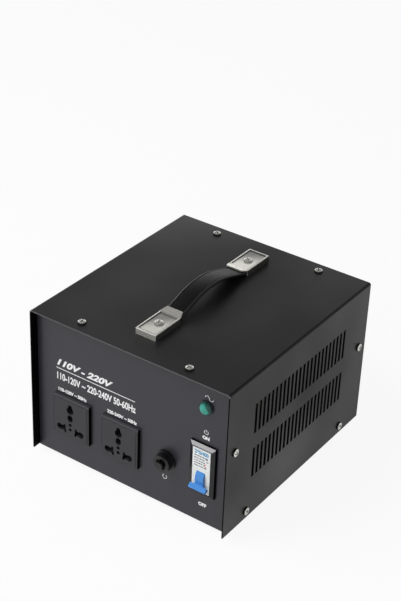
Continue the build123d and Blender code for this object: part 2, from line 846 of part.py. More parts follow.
def socket_parts():
    parts = {}
    screws = []
    back = -(socket_neck_depth + socket_base_depth)
    length = socket_base_depth + socket_screw_grip - thread_clearance
    fastener = screw(socket_screw_head_radius, socket_screw_head_height, socket_screw_radius, length)
    from_behind = Pos(0, 0, back) * Rot(180, 0, 0) * fastener
    for side, x in (("left", left_socket_x), ("right", right_socket_x)):
        plane = on_front(x, socket_height)
        parts[side + "_socket_face"] = plane * socket_face()
        parts[side + "_socket_base"] = plane * socket_base()
        pins = [Pos(hand * round_pin_offset, -pin_row_drop, 0) * pin_contact() for hand in (-1, 1)]
        parts[side + "_pin_contacts"] = group([plane * pin for pin in pins])
        parts[side + "_earth_contact"] = plane * Pos(0, earth_contact_rise(), 0) * earth_contact()
        screws += [plane * spot * from_behind for spot in socket_screw_spots()]
    parts["socket_screws"] = group(screws)
    return parts


def reset_parts():
    plane = on_front(reset_x, reset_height)
    bore = reset_button_radius + reset_running_fit
    seat = -reset_seat_depth
    stem_end = reset_button_reach - reset_button_length - reset_stem_length
    blind = stem_end - reset_travel - cut_overrun / 2
    body = prism(Rectangle(reset_body_width, reset_body_height), -sheet - reset_body_depth, -sheet)
    body += disc(reset_bush_radius, -sheet, reset_bush_length)
    body -= disc(bore, seat, reset_bush_length + cut_overrun)
    body -= disc(reset_stem_radius + reset_running_fit, blind, seat)

    rear = -sheet - reset_body_depth
    root = Rectangle(reset_tab_width, reset_tab_thickness)
    tabs = []
    for hand in (-1, 1):
        spot = Pos(0, hand * reset_tab_offset, 0)
        slot = Rectangle(reset_tab_width + 2 * thread_clearance, reset_tab_thickness + 2 * thread_clearance)
        body -= spot * prism(slot, rear - cut_overrun, rear + reset_tab_root)
        tabs.append(spot * prism(root, rear - reset_tab_length, rear + reset_tab_root))

    top_radius = reset_collar_radius - reset_collar_taper
    collar_bore = reset_bush_radius + thread_clearance
    collar = turned(
        (collar_bore, 0),
        (reset_flange_radius, 0),
        (reset_flange_radius, reset_flange_height),
        (reset_collar_radius, reset_flange_height),
        (top_radius, reset_collar_length - reset_collar_round),
        (top_radius - reset_collar_round, reset_collar_length),
        (collar_bore, reset_collar_length),
    )

    back = reset_button_reach - reset_button_length
    button = turned(
        (0, reset_button_reach),
        (reset_button_radius - reset_button_round, reset_button_reach),
        (reset_button_radius, reset_button_reach - reset_button_round),
        (reset_button_radius, back),
        (reset_stem_radius, back),
        (reset_stem_radius, stem_end),
        (0, stem_end),
    )

    wire = reset_spring_wire / 2
    low = seat + wire + reset_spring_gap
    high = back - wire - reset_spring_gap
    helix = Pos(0, 0, low) * Helix(pitch=(high - low) / reset_spring_turns, height=high - low,
                                   radius=reset_spring_radius)
    start = Plane(origin=helix @ 0, z_dir=helix % 0)
    spring = sweep(start * RegularPolygon(wire, 6), path=helix, is_frenet=True)
    return {
        "reset_body": plane * body,
        "reset_collar": plane * collar,
        "reset_button": plane * button,
        "reset_spring": plane * spring,
        "reset_tabs": group([plane * tab for tab in tabs]),
    }


def lamp_parts():
    plane = on_front(lamp_x, lamp_height)
    rim = lamp_rim_height
    inside = lamp_barrel_radius - lamp_barrel_wall
    base = -lamp_barrel_length
    body = turned(
        (inside, rim),
        (lamp_rim_radius, rim),
        (lamp_rim_radius, 0),
        (lamp_barrel_radius, 0),
        (lamp_barrel_radius, base),
        (0, base),
        (0, base + lamp_bulb_base),
        (inside, base + lamp_bulb_base),
    )
    skirt = rim + lamp_lens_skirt
    top = skirt + lamp_lens_dome
    shoulder = lamp_lens_radius * head_crown_share
    wall = lamp_lens_wall
    lens = turned(
        (lamp_lens_radius, rim),
        (lamp_lens_radius, skirt),
        (shoulder, skirt + lamp_lens_dome * head_crown_share),
        (0, top),
        (0, top - wall),
        (shoulder - wall, skirt + lamp_lens_dome * head_crown_share - wall),
        (lamp_lens_radius - wall, skirt - wall / 2),
        (lamp_lens_radius - wall, rim),
    )
    bulb_low = base + lamp_bulb_base
    bulb_high = bulb_low + lamp_bulb_length
    bulb = turned(
        (0, bulb_low),
        (lamp_bulb_radius, bulb_low),
        (lamp_bulb_radius, bulb_high - lamp_bulb_radius),
        (lamp_bulb_radius / 2, bulb_high),
        (0, bulb_high),
    )
    hex_nut = Pos(0, 0, -sheet) * nut(lamp_nut_flats, lamp_barrel_radius, lamp_nut_height)
    return {
        "lamp_body": plane * body,
        "lamp_lens": plane * lens,
        "lamp_bulb": plane * bulb,
        "lamp_nut": plane * hex_nut,
    }


def breaker_profile():
    # Case seen from the side, as (distance out of the panel, height from its middle).
    nose = nose_height / 2
    body = breaker_body_height / 2
    root = nose_reach - nose_depth
    back = -breaker_body_back
    hook = back - rail_hook_depth
    lip = back - rail_sheet - rail_clearance
    outer = rail_width / 2 + rail_clearance
    inner = outer - rail_hook_lip
    upper = [
        (back, outer),
        (lip, outer),
        (lip, inner),
        (hook, inner),
        (hook, outer + rail_hook_width),
        (back, outer + rail_hook_width + rail_hook_depth),
        (back, body),
        (root - shoulder_slope, body),
        (root, nose),
        (nose_reach, nose),
    ]
    return upper + [(p, -height) for p, height in reversed(upper)]


def breaker_case():
    profile = make_face(Polyline(*breaker_profile(), close=True))
    body = side_view * extrude(profile, breaker_body_width / 2, both=True)
    nose = prism(Rectangle(nose_width, nose_height), nose_reach - nose_depth, nose_reach)
    body += nose
    pivot = Pos(0, -toggle_drop, -toggle_pivot_depth)
    across = Rot(0, 90, 0)
    half_slot = toggle_drum_width / 2 + toggle_side_clearance
    pocket = disc(toggle_drum_radius + toggle_drum_clearance, -half_slot, half_slot)
    seat = disc(toggle_pin_radius + pin_seat_fit, -toggle_pin_length / 2, toggle_pin_length / 2)
    body -= pivot * across * pocket
    body -= pivot * across * seat
    for end in (-1, 1):
        top = breaker_body_height / 2
        chamber_length = clamp_length + 2 * clamp_play
        middle = end * (top - clamp_inset - clamp_length / 2)
        chamber = Box(clamp_width + 2 * clamp_play, chamber_length, clamp_depth + 2 * clamp_play)
        body -= Pos(0, middle, -clamp_back) * chamber
        entry = Cylinder(clamp_entry_radius, clamp_inset + cut_overrun)
        body -= Pos(0, end * (top - clamp_inset / 2), -clamp_back) * Rot(90, 0, 0) * entry
        shaft = disc(clamp_screw_head_radius + clamp_play, -clamp_back, 0)
        body -= Pos(0, middle, 0) * shaft
    return body


def toggle_grip():
    # Bar with a flared root, straight out from the pivot: its side view cut to its front outline.
    half = toggle_bar_thickness / 2
    tip = toggle_tip_thickness / 2
    side = make_face(Polyline(
        (toggle_flare_start, 0),
        (toggle_bar_start, half),
        (toggle_reach, tip),
        (toggle_reach, -tip),
        (toggle_bar_start, -half),
        close=True,
    ))
    blank = side_view * extrude(side, toggle_bar_width / 2, both=True)
    length = toggle_reach - toggle_bar_start
    outline = Pos(0, toggle_bar_start + length / 2) * Rectangle(toggle_bar_width, length)
    outline += Pos(0, toggle_reach / 2) * Rectangle(toggle_drum_width, toggle_reach)
    level = outline.vertices().filter_by(lambda v: abs(v.Y - toggle_bar_start) < toggle_bar_round)
    between = (toggle_drum_width + toggle_bar_width) / 4
    outline = fillet([v for v in level if abs(v.X) < between], toggle_flare_radius)
    outline = fillet([v for v in outline.vertices() if abs(v.X) > between], toggle_bar_round)
    grip = blank & (Plane.XZ * extrude(outline, toggle_drum_radius, both=True))
    thin = toggle_root_thickness / 2
    upper = [(0, thin), (toggle_flare_start, thin), (toggle_bar_start, half)]
    root = make_face(Polyline(*upper, *[(out, -up) for out, up in reversed(upper)], close=True))
    return grip + side_view * extrude(root, toggle_drum_width / 2, both=True)


def breaker_toggle():
    # Drum on the pin with the grip standing out of it, in the OFF position.
    body = side_view * extrude(Circle(toggle_drum_radius), toggle_drum_width / 2, both=True)
    body += Rot(toggle_rest_angle, 0, 0) * toggle_grip()
    bore = side_view * extrude(Circle(toggle_pin_radius + toggle_pin_fit), toggle_drum_width, both=True)
    return Pos(0, -toggle_drop, -toggle_pivot_depth) * (body - bore)


def breaker_parts():
    plane = on_front(breaker_x, breaker_height)
    outline = Rectangle(bezel_width, bezel_height)
    lip = Rectangle(bezel_width - 2 * bezel_bevel_width, bezel_height - 2 * bezel_bevel_width)
    bezel = prism(outline, 0, bezel_wall)
    top = bezel_wall + bezel_bevel_depth
    bezel += loft([Pos(0, 0, bezel_wall) * outline, Pos(0, 0, top) * lip], ruled=True)
    window = Rectangle(nose_width + 2 * nose_clearance, nose_height + 2 * nose_clearance)
    bezel -= prism(window, -cut_overrun, top + cut_overrun)

    pin = Pos(0, -toggle_drop, -toggle_pivot_depth) * Rot(0, 90, 0) * disc(
        toggle_pin_radius, -toggle_pin_length / 2, toggle_pin_length / 2)

    clamps = []
    screws = []
    window_size = clamp_width * clamp_window_share
    cage = Box(clamp_width, clamp_length, clamp_depth)
    cage -= Box(window_size, clamp_length + cut_overrun, window_size)
    cage_screw_length = clamp_depth / 2
    fastener = turned(
        (0, -cage_screw_length),
        (clamp_screw_radius, -cage_screw_length),
        (clamp_screw_radius, 0),
        (clamp_screw_head_radius, 0),
        (clamp_screw_head_radius, clamp_screw_head_height),
        (0, clamp_screw_head_height),
    )
    for end in (-1, 1):
        middle = end * (breaker_body_height / 2 - clamp_inset - clamp_length / 2)
        wall = (clamp_width - window_size) / 2
        hole = disc(clamp_screw_radius + thread_clearance, clamp_depth / 2 - wall - cut_overrun, clamp_depth)
        clamps.append(plane * Pos(0, middle, -clamp_back) * (cage - hole))
        screws.append(plane * Pos(0, middle, clamp_depth / 2 - clamp_back) * fastener)

    back = -breaker_body_back
    flange = rail_width / 2
    hat = rail_hat_width / 2
    bottom = back - rail_hat_depth
    half = rail_sheet / 2
    rail_line = [
        (back - half, flange),
        (back - half, hat),
        (bottom + half, hat),
        (bottom + half, -hat),
        (back - half, -hat),
        (back - half, -flange),
    ]
    rail = side_view * strip(rail_line, rail_sheet, rail_length)

    plate = bottom - bracket_sheet / 2
    foot = -(breaker_height - sheet - bracket_sheet / 2)
    bracket_line = [
        (plate, rail_width * bracket_top_share),
        (plate, foot),
        (plate + bracket_foot, foot),
    ]
    bracket = side_view * strip(bracket_line, bracket_sheet, rail_length)
    bracket_hole = disc(bracket_screw_radius + hole_clearance, -cut_overrun, 2 * cut_overrun)
    bracket = plane * bracket - [seat * bracket_hole for seat in bracket_seats()]
    fixing = screw(screw_head_radius, screw_head_height, bracket_screw_radius, bracket_screw_length)
    fixings = [seat * Pos(0, 0, bracket_sheet) * fixing for seat in bracket_seats()]
    return {
        "breaker_bezel": plane * bezel,
        "breaker_case": plane * breaker_case(),
        "breaker_toggle": plane * breaker_toggle(),
        "breaker_pin": plane * pin,
        "breaker_clamps": group(clamps),
        "breaker_clamp_screws": group(screws),
        "breaker_rail": plane * rail,
        "breaker_bracket": bracket,
        "bracket_screws": group(fixings),
    }


def selector_parts():
    plane = on_rear(selector_x, selector_height)
    flange = selector_flange_depth
    back = flange - selector_pocket_depth
    body = prism(RectangleRounded(selector_flange_width, selector_flange_height, flange), 0, flange)
    body += prism(Rectangle(selector_body_width, selector_body_height), -selector_body_depth, 0)
    body -= prism(Rectangle(selector_pocket_width, selector_pocket_height), back, flange + cut_overrun)
    spots = [Pos(hand * selector_screw_pitch / 2, 0, 0) for hand in (-1, 1)]
    body -= [spot * disc(selector_screw_radius + hole_clearance, -cut_overrun, flange + cut_overrun)
             for spot in spots]
    slider_width = selector_pocket_width - selector_travel - 2 * selector_play
    slider_height = selector_pocket_height - 2 * selector_play
    low = back + selector_play
    top = low + selector_slider_depth
    slider = prism(Rectangle(slider_width, slider_height), low, top)
    groove = prism(Rectangle(slider_width / 6, slider_height + cut_overrun), top - slider_width / 6, top)
    slider -= [Pos(share * slider_width, 0, 0) * groove for share in (-1 / 4, 1 / 4)]
    tabs = []
    for step in (-1, 0, 1):
        tab = Rectangle(selector_tab_width, selector_tab_thickness)
        end = -selector_body_depth
        tabs.append(Pos(step * selector_tab_pitch, 0, 0) * prism(tab, end - selector_tab_length, end))
    fastener = Pos(0, 0, flange) * screw(selector_screw_head_radius, selector_screw_head_height,
                                         selector_screw_radius, selector_screw_length)
    return {
        "selector_body": plane * body,
        "selector_slider": plane * Pos(-selector_travel / 2, 0, 0) * slider,
        "selector_tabs": group([plane * tab for tab in tabs]),
        "selector_screws": group([plane * spot * fastener for spot in spots]),
    }


def gland_parts():
    plane = on_rear(gland_x, gland_height)
    collar = gland_collar_height
    body = prism(hexagon(gland_collar_flats), 0, collar)
    body += disc(gland_neck_radius, collar, collar + gland_neck_length)
    body += disc(gland_barrel_radius, -gland_barrel_length, 0)
    reach = collar + gland_neck_length + cut_overrun
    body -= disc(gland_bore_radius, -gland_barrel_length - cut_overrun, reach)
    inside = gland_neck_radius + thread_clearance
    end = collar + gland_cap_length
    cap = turned(
        (inside, collar),
        (gland_cap_radius, collar),
        (gland_cap_radius, end - gland_cap_round),
        (gland_cap_radius - gland_cap_round, end),
        (gland_bore_radius, end),
        (gland_bore_radius, collar + gland_neck_length),
        (inside, collar + gland_neck_length),
    )
    locknut = Pos(0, 0, -sheet) * nut(gland_nut_flats, gland_barrel_radius, gland_nut_height)
    return {
        "gland_body": plane * body,
        "gland_cap": plane * cap,
        "gland_locknut": plane * locknut,
    }


def core_bolt_spots():
    reach_z = core_height / 2 - core_module / 2
    middle = floor_top + core_height / 2
    return [(x, middle + z) for x in (-core_bolt_x, core_bolt_x) for z in (-reach_z, reach_z)]


def clamp_angle():
    # Angle with its upright leg against the stack at y = 0 and its foot pointing to -Y.
    half = clamp_angle_sheet / 2
    line = Polyline((-half, clamp_angle_leg), (-half, half), (-clamp_angle_foot - half, half))
    return extrude(Plane.YZ * trace(line, line_width=clamp_angle_sheet), core_width / 2, both=True)


def transformer_parts():
    laminations = Rectangle(core_width, core_height, align=(Align.CENTER, Align.MIN))
    window_x = core_module * 3 / 2
    for hand in (-1, 1):
        window = Rectangle(core_module, 3 * core_module, align=(Align.CENTER, Align.MIN))
        laminations -= Pos(hand * window_x, core_module) * window
    bolt_hole = core_bolt_radius + core_bolt_clearance
    laminations -= [Pos(x, z - floor_top) * Circle(bolt_hole) for x, z in core_bolt_spots()]
    core = Pos(0, core_y, floor_top) * extrude(Plane.XZ * laminations, core_stack / 2, both=True)

    inside_x = 2 * core_module + 2 * bobbin_clearance
    inside_y = core_stack + 2 * bobbin_clearance
    tube_x = inside_x + 2 * bobbin_wall
    tube_y = inside_y + 2 * bobbin_wall
    full_x = tube_x + 2 * winding_depth
    full_y = tube_y + 2 * winding_depth
    low = bobbin_low
    high = bobbin_high
    hollow = Rectangle(inside_x, inside_y)
    flange = Rectangle(full_x + 2 * tape_thickness, full_y + 2 * tape_thickness) - hollow
    bobbin = prism(Rectangle(tube_x, tube_y) - hollow, low, high)
    bobbin += prism(flange, low, low + bobbin_flange)
    bobbin += prism(flange, high - bobbin_flange, high)
    wound = RectangleRounded(full_x, full_y, winding_round)
    wrapped = RectangleRounded(full_x + 2 * tape_thickness, full_y + 2 * tape_thickness,
                               winding_round + tape_thickness)
    wind_low = low + bobbin_flange + winding_gap
    wind_high = high - bobbin_flange - winding_gap
    tube = Rectangle(tube_x + 2 * winding_gap, tube_y + 2 * winding_gap)
    winding = prism(wound - tube, wind_low, wind_high)
    tape = prism(wrapped - wound, wind_low, wind_high)
    at_core = Pos(0, core_y, 0)

    front = Pos(0, core_front, floor_top) * clamp_angle()
    back = Pos(0, core_back, floor_top) * Rot(0, 0, 180) * clamp_angle()
    front_top = Pos(0, core_front, core_top) * mirror(clamp_angle(), Plane.XY)
    back_top = Pos(0, core_back, core_top) * Rot(0, 0, 180) * mirror(clamp_angle(), Plane.XY)
    drill = Cylinder(bolt_hole, case_depth)
    drills = [Pos(x, 0, z) * Rot(90, 0, 0) * drill for x, z in core_bolt_spots()]
    floor_drill = disc(mounting_bolt_radius + hole_clearance, 0, sheet + clamp_angle_sheet + cut_overrun)
    floor_drills = [seat * floor_drill for seat in mounting_seats()]

    grip = core_stack + 2 * clamp_angle_sheet
    bolt = disc(core_bolt_radius, -grip - clamp_nut_height - core_bolt_tail, 0)
    bolt += prism(hexagon(core_bolt_head_flats), 0, core_bolt_head_height)
    bolt_nut = Pos(0, 0, -grip) * nut(clamp_nut_flats, core_bolt_radius, clamp_nut_height)
    seat_y = core_front - clamp_angle_sheet
    spots = [Plane(origin=(x, seat_y, z), z_dir=(0, -1, 0)) for x, z in core_bolt_spots()]

    stack_height = sheet + clamp_angle_sheet
    mount = screw(mounting_bolt_head_radius, mounting_bolt_head_height, mounting_bolt_radius,
                  stack_height + clamp_nut_height + core_bolt_tail)
    upward = Rot(180, 0, 0) * mount
    hex_nut = nut(clamp_nut_flats, mounting_bolt_radius, clamp_nut_height)
    mount_nut = Pos(0, 0, stack_height) * Rot(180, 0, 0) * hex_nut
    nuts = [spot * bolt_nut for spot in spots]
    nuts += [seat * mount_nut for seat in mounting_seats()]
    return {
        "core": core,
        "bobbin": at_core * bobbin,
        "winding": at_core * winding,
        "winding_tape": at_core * tape,
        "lower_clamps": group([front - drills - floor_drills, back - drills - floor_drills]),
        "upper_clamps": group([front_top - drills, back_top - drills]),
        "core_bolts": group([spot * bolt for spot in spots]),
        "mounting_bolts": group([seat * upward for seat in mounting_seats()]),
        "clamp_nuts": group(nuts),
    }


def block_poles_x():
    first = block_x - block_pitch * (block_poles - 1) / 2
    return [first + index * block_pitch for index in range(block_poles)]


def terminal_parts():
    length = block_pitch * block_poles + 2 * block_end
    body = Pos(block_x, block_y, floor_top) * Box(length, block_depth, block_height,
                                                  align=(Align.CENTER, Align.CENTER, Align.MIN))
    screws = []
    fastener = screw(block_screw_head_radius, block_screw_head_height, block_screw_radius, block_screw_length)
    bay = Box(block_pitch - block_barrier, block_depth + cut_overrun, block_step + cut_overrun,
              align=(Align.CENTER, Align.CENTER, Align.MIN))
    hole = disc(block_screw_radius + thread_clearance, -block_screw_length, cut_overrun)
    for x in block_poles_x():
        body -= Pos(x, block_y, block_deck) * bay
        for end in (-1, 1):
            spot = Pos(x, block_y + end * block_screw_offset, block_deck)
            body -= spot * hole
            screws.append(spot * fastener)
    return {"terminal_block": body, "terminal_screws": group(screws)}


def lead(*points, bend=lead_bend):
    # Round wire along straight runs joined by tangent bends.
    path = FilletPolyline(*points, radius=bend)
    start = Plane(origin=path @ 0, z_dir=path % 0)
    return sweep(start * Circle(lead_radius), path=path)


def front_screw_spot(x):
    # End of a lead that lies on the terminal block's deck against the head of a front screw.
    return (x, block_y - block_screw_offset - block_screw_head_radius, block_deck + lead_radius)


def socket_leads():
    # From the line and neutral tails of both sockets back and down to the terminal block.
    tail_y = -panel_y + socket_neck_depth + socket_base_depth + contact_tail_length
    tail_z = floor_bottom + socket_height - pin_row_drop
    tails = [x + hand * round_pin_offset for x in (left_socket_x, right_socket_x) for hand in (-1, 1)]
    leads = []
    for tail_x, pole_x in zip(tails, block_poles_x()):
        end = front_screw_spot(pole_x)
        run_y = tail_y + lead_tail_gap
        leads.append(lead((tail_x, tail_y, tail_z), (tail_x, run_y, tail_z), (end[0], run_y, end[2]), end,
                          bend=lead_short_bend))
    return leads


def power_leads():
    # Terminal block to the reset unit, reset unit to the breaker, and breaker to the terminal block.
    reset_pole, breaker_pole = block_poles_x()[-2:]
    tab_y = -panel_y + sheet + reset_body_depth + reset_tab_length
    middle = floor_bottom + reset_height
    low_tab = (reset_x, tab_y, middle - reset_tab_offset)
    high_tab = (reset_x, tab_y, middle + reset_tab_offset)
    back_y = tab_y + lead_tail_gap
    clamp_y = -panel_y + clamp_back + clamp_width * clamp_window_share / 2 - lead_radius
    breaker_low = floor_bottom + breaker_height - breaker_body_height / 2
    breaker_high = floor_bottom + breaker_top
    inside = clamp_inset + clamp_length * 3 / 4
    start = front_screw_spot(reset_pole)
    turn = (start[0], back_y, start[2])
    up = (low_tab[0], back_y, low_tab[2])
    leads = [lead(start, turn, up, low_tab, bend=lead_short_bend)]
    over = breaker_high + lead_breaker_gap
    leads.append(lead(high_tab, (reset_x, back_y, high_tab[2]), (reset_x + lead_bend, back_y, over),
                      (breaker_x, clamp_y, over), (breaker_x, clamp_y, breaker_high - inside),
                      bend=lead_short_bend))
    under = breaker_low - lead_breaker_gap
    end = front_screw_spot(breaker_pole)
    leads.append(lead(end, (end[0], back_y - lead_bend, end[2]), (breaker_x, clamp_y, under),
                      (breaker_x, clamp_y, breaker_low + inside), bend=lead_short_bend))
    return leads


def lamp_leads():
    # From the back of the lamp over to the two right-hand poles, down onto their front screws.
    back_y = -panel_y + lamp_barrel_length
    lamp_z = floor_bottom + lamp_height
    screw_y = block_y - block_screw_offset
    screw_z = block_deck + block_screw_head_height
    far_x, near_x = block_poles_x()[-2:]
    far_lead = lead((lamp_x + lamp_bulb_radius, back_y, lamp_z),
                    (lamp_x + lamp_bulb_radius, back_y + lead_tail_gap + lead_lamp_step, lamp_z),
                    (far_x, screw_y, lamp_z - lead_bend),
                    (far_x, screw_y, screw_z))
    near_lead = lead((lamp_x - lamp_bulb_radius, back_y, lamp_z),
                     (lamp_x - lamp_bulb_radius, back_y + lead_tail_gap, lamp_z),
                     (near_x, screw_y, lamp_z - lead_bend - lead_lamp_step),
                     (near_x, screw_y, screw_z))
    return [far_lead, near_lead]


def winding_leads():
    # Out of the front of the winding and down onto the rear screws of the terminal block.
    screw_y = block_y + block_screw_offset
    screw_z = block_deck + block_screw_head_height
    low = bobbin_low + bobbin_flange + lead_winding_rise
    leads = []
    for index, pole_x in enumerate(block_poles_x()):
        steps = max(block_poles // 2 - 1 - index, 0)
        x = pole_x + steps * block_pitch * 3 / 2
        exit_z = low + steps * lead_winding_step
        points = [(x, tape_front, exit_z)]
        if steps:
            points.append((x, (tape_front + screw_y) / 2, exit_z))
        points += [(pole_x, screw_y, exit_z - steps * lead_radius), (pole_x, screw_y, screw_z)]
        leads.append(lead(*points, bend=lead_short_bend))
    return leads


def earth_leads():
    # From the sockets' earth tails up to the transformer's upper clamp, and from its right end
    # forward beside the case's right side to the front panel.
    tail_y = -panel_y + socket_neck_depth + socket_base_depth + contact_tail_length
    tail_z = floor_bottom + socket_height + earth_contact_rise()
    clamp_z = core_top - clamp_angle_sheet / 2
    clamp_front = core_front - clamp_angle_sheet - clamp_angle_foot
    run_y = tail_y + lead_tail_gap
    leads = []
    for x in (left_socket_x, right_socket_x):
        leads.append(lead((x, tail_y, tail_z), (x, run_y, tail_z), (x, run_y, clamp_z),
                          (x, clamp_front, clamp_z)))
    wall_x = chassis_half_width - sheet - lead_wall_gap
    start_y = clamp_front + 2 * lead_radius
    back_z = core_top - lead_wall_drop
    front_z = core_top - lead_panel_drop
    side_y = clamp_front + lead_radius
    leads.append(lead((core_width / 2, start_y, clamp_z), (wall_x, start_y, clamp_z),
                      (wall_x, side_y, back_z), (wall_x, tail_y, front_z),
                      (wall_x, -panel_y + sheet, front_z), bend=lead_short_bend))
    return leads


def build():
    parts = {
        "cover": cover(),
        "chassis": chassis(),
        "front_panel": front_panel(),
        "rear_panel": rear_panel(),
        "cover_screws": cover_screws(),
        "rubber_feet": rubber_feet(),
        "foot_screws": foot_screws(),
    }
    parts.update(handle_parts())
    parts.update(socket_parts())
    parts.update(reset_parts())
    parts.update(lamp_parts())
    parts.update(breaker_parts())
    parts.update(selector_parts())
    parts.update(gland_parts())
    parts.update(transformer_parts())
    parts.update(terminal_parts())
    parts["leads"] = group(socket_leads() + power_leads() + lamp_leads() + winding_leads())
    parts["earth_leads"] = group(earth_leads())
    return parts


os.makedirs("parts", exist_ok=True)
for name, shape in build().items():
    export_step(shape, "parts/" + name + ".step")
    print(name, len(shape.solids()), "solids", round(shape.volume), "mm3")
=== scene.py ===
import bpy
import json
import math
import numpy as np
from mathutils import Matrix, Vector


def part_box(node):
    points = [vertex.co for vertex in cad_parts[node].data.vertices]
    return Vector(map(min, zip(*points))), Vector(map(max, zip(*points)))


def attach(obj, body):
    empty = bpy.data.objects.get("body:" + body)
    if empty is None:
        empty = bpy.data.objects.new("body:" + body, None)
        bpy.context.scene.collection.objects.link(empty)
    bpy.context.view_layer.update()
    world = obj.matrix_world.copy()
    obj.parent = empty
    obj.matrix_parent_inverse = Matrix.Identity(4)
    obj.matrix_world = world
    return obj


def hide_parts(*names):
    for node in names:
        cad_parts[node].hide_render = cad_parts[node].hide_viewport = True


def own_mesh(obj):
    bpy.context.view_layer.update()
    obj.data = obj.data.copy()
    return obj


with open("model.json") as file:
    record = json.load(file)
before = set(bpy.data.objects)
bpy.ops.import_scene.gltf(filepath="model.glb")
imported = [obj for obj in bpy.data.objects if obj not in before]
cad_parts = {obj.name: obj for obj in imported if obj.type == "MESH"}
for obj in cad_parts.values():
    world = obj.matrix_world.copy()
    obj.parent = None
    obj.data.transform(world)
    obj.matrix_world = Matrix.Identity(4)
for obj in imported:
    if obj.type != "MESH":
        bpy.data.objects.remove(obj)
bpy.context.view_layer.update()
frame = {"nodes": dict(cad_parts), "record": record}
nodes = frame["nodes"]
mm = 0.001
print("stage: frame loaded,", len(nodes), "nodes")


# Places taken from the frame
caseLow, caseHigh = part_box("cover")
caseTop = caseHigh.z
footHeight = caseLow.z                   # panel heights are measured from the case's lower edge
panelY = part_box("breaker_bezel")[1].y    # outer face of the front panel, where the bezel sits on it


# Helpers for node trees; the owner is a material or the world.
def shaderOf(mat):
    return mat.node_tree.nodes["Principled BSDF"]


def newMaterial(name, colour, roughness=0.5, metallic=0.0):
    mat = bpy.data.materials.new(name)
    mat.use_nodes = True
    inputs = shaderOf(mat).inputs
    inputs["Base Color"].default_value = (*colour, 1.0)
    inputs["Roughness"].default_value = roughness
    inputs["Metallic"].default_value = metallic
    return mat


def addNode(owner, kind, **settings):
    # A setting goes to the node's input of that name, or else to its property.
    node = owner.node_tree.nodes.new(kind)
    for label, value in settings.items():
        if label in node.inputs:
            node.inputs[label].default_value = value
        else:
            setattr(node, label, value)
    return node


def isSocket(part):
    return isinstance(part, bpy.types.NodeSocket)


def plug(owner, part, node, socket):
    # Links another node's output to the socket, or sets the socket where the part is a plain value.
    if isSocket(part):
        owner.node_tree.links.new(part, node.inputs[socket])
    else:
        node.inputs[socket].default_value = part


def feed(mat, part, socket):
    plug(mat, part, shaderOf(mat), socket)


def calc(owner, operation, *parts):
    # One step of arithmetic on numbers and on the outputs of other nodes.
    node = addNode(owner, "ShaderNodeMath", operation=operation)
    for index, part in enumerate(parts):
        plug(owner, part, node, index)
    return node.outputs[0]


def vectorCalc(owner, operation, first, second):
    node = addNode(owner, "ShaderNodeVectorMath", operation=operation)
    plug(owner, first, node, 0)
    plug(owner, second, node, 1)
    return node.outputs


def above(owner, value, number):
    return calc(owner, "GREATER_THAN", value, number)


def below(owner, value, number):
    return calc(owner, "LESS_THAN", value, number)


def both(owner, first, second):
    return calc(owner, "MULTIPLY", first, second)


def either(owner, first, second):
    return calc(owner, "MAXIMUM", first, second)


def between(owner, value, low, high):
    return both(owner, above(owner, value, low), below(owner, value, high))


def remap(owner, value, start, end, low=0.0, high=1.0, kind="SMOOTHSTEP"):
    # Goes from low to high as the value goes from start to end.
    node = addNode(owner, "ShaderNodeMapRange", interpolation_type=kind)
    for label, number in (("From Min", start), ("From Max", end), ("To Min", low), ("To Max", high)):
        node.inputs[label].default_value = number
    plug(owner, value, node, "Value")
    return node.outputs["Result"]


def instead(owner, source, factor, other):
    # The source number, or the other one where the factor is one.
    node = addNode(owner, "ShaderNodeMix")
    for socket, part in (("A", source), ("B", other), ("Factor", factor)):
        plug(owner, part, node, socket)
    return node.outputs["Result"]


def tint(mat, source, factor, other):
    # The source colour, or the other one where the factor is one.
    node = addNode(mat, "ShaderNodeMix", data_type="RGBA")
    for socket, part in (("A", source), ("B", other)):
        plug(mat, part if isSocket(part) else (*part, 1), node, socket)
    plug(mat, factor, node, "Factor")
    return node.outputs["Result"]


def objectPlace(mat):
    return addNode(mat, "ShaderNodeTexCoord").outputs["Object"]


def splitPlace(owner, place):
    split = addNode(owner, "ShaderNodeSeparateXYZ")
    plug(owner, place, split, "Vector")
    return split.outputs


def along(mat, place, direction):
    # How far the place lies along a direction.
    return vectorCalc(mat, "DOT_PRODUCT", place, direction)["Value"]


def addBump(mat, height, strength, distance):
    bump = addNode(mat, "ShaderNodeBump", Strength=strength, Distance=distance)
    plug(mat, height, bump, "Height")
    feed(mat, bump.outputs["Normal"], "Normal")


def grain(mat, scale, strength, distance, stretch=(1, 1, 1), detail=3.0):
    # Fine surface texture: noise in object coordinates, stretched along an axis if asked, as bump.
    mapping = addNode(mat, "ShaderNodeMapping", Scale=stretch)
    noise = addNode(mat, "ShaderNodeTexNoise", Scale=scale, Detail=detail)
    plug(mat, objectPlace(mat), mapping, "Vector")
    plug(mat, mapping.outputs["Vector"], noise, "Vector")
    addBump(mat, noise.outputs["Fac"], strength, distance)
    return noise.outputs["Fac"]


noiseSpan = (0.3, 0.7)           # nearly all of a noise texture lies between these


def vary(mat, noise, low, high):
    # The noise also moves the roughness between two values.
    feed(mat, remap(mat, noise, *noiseSpan, low, high, kind="LINEAR"), "Roughness")


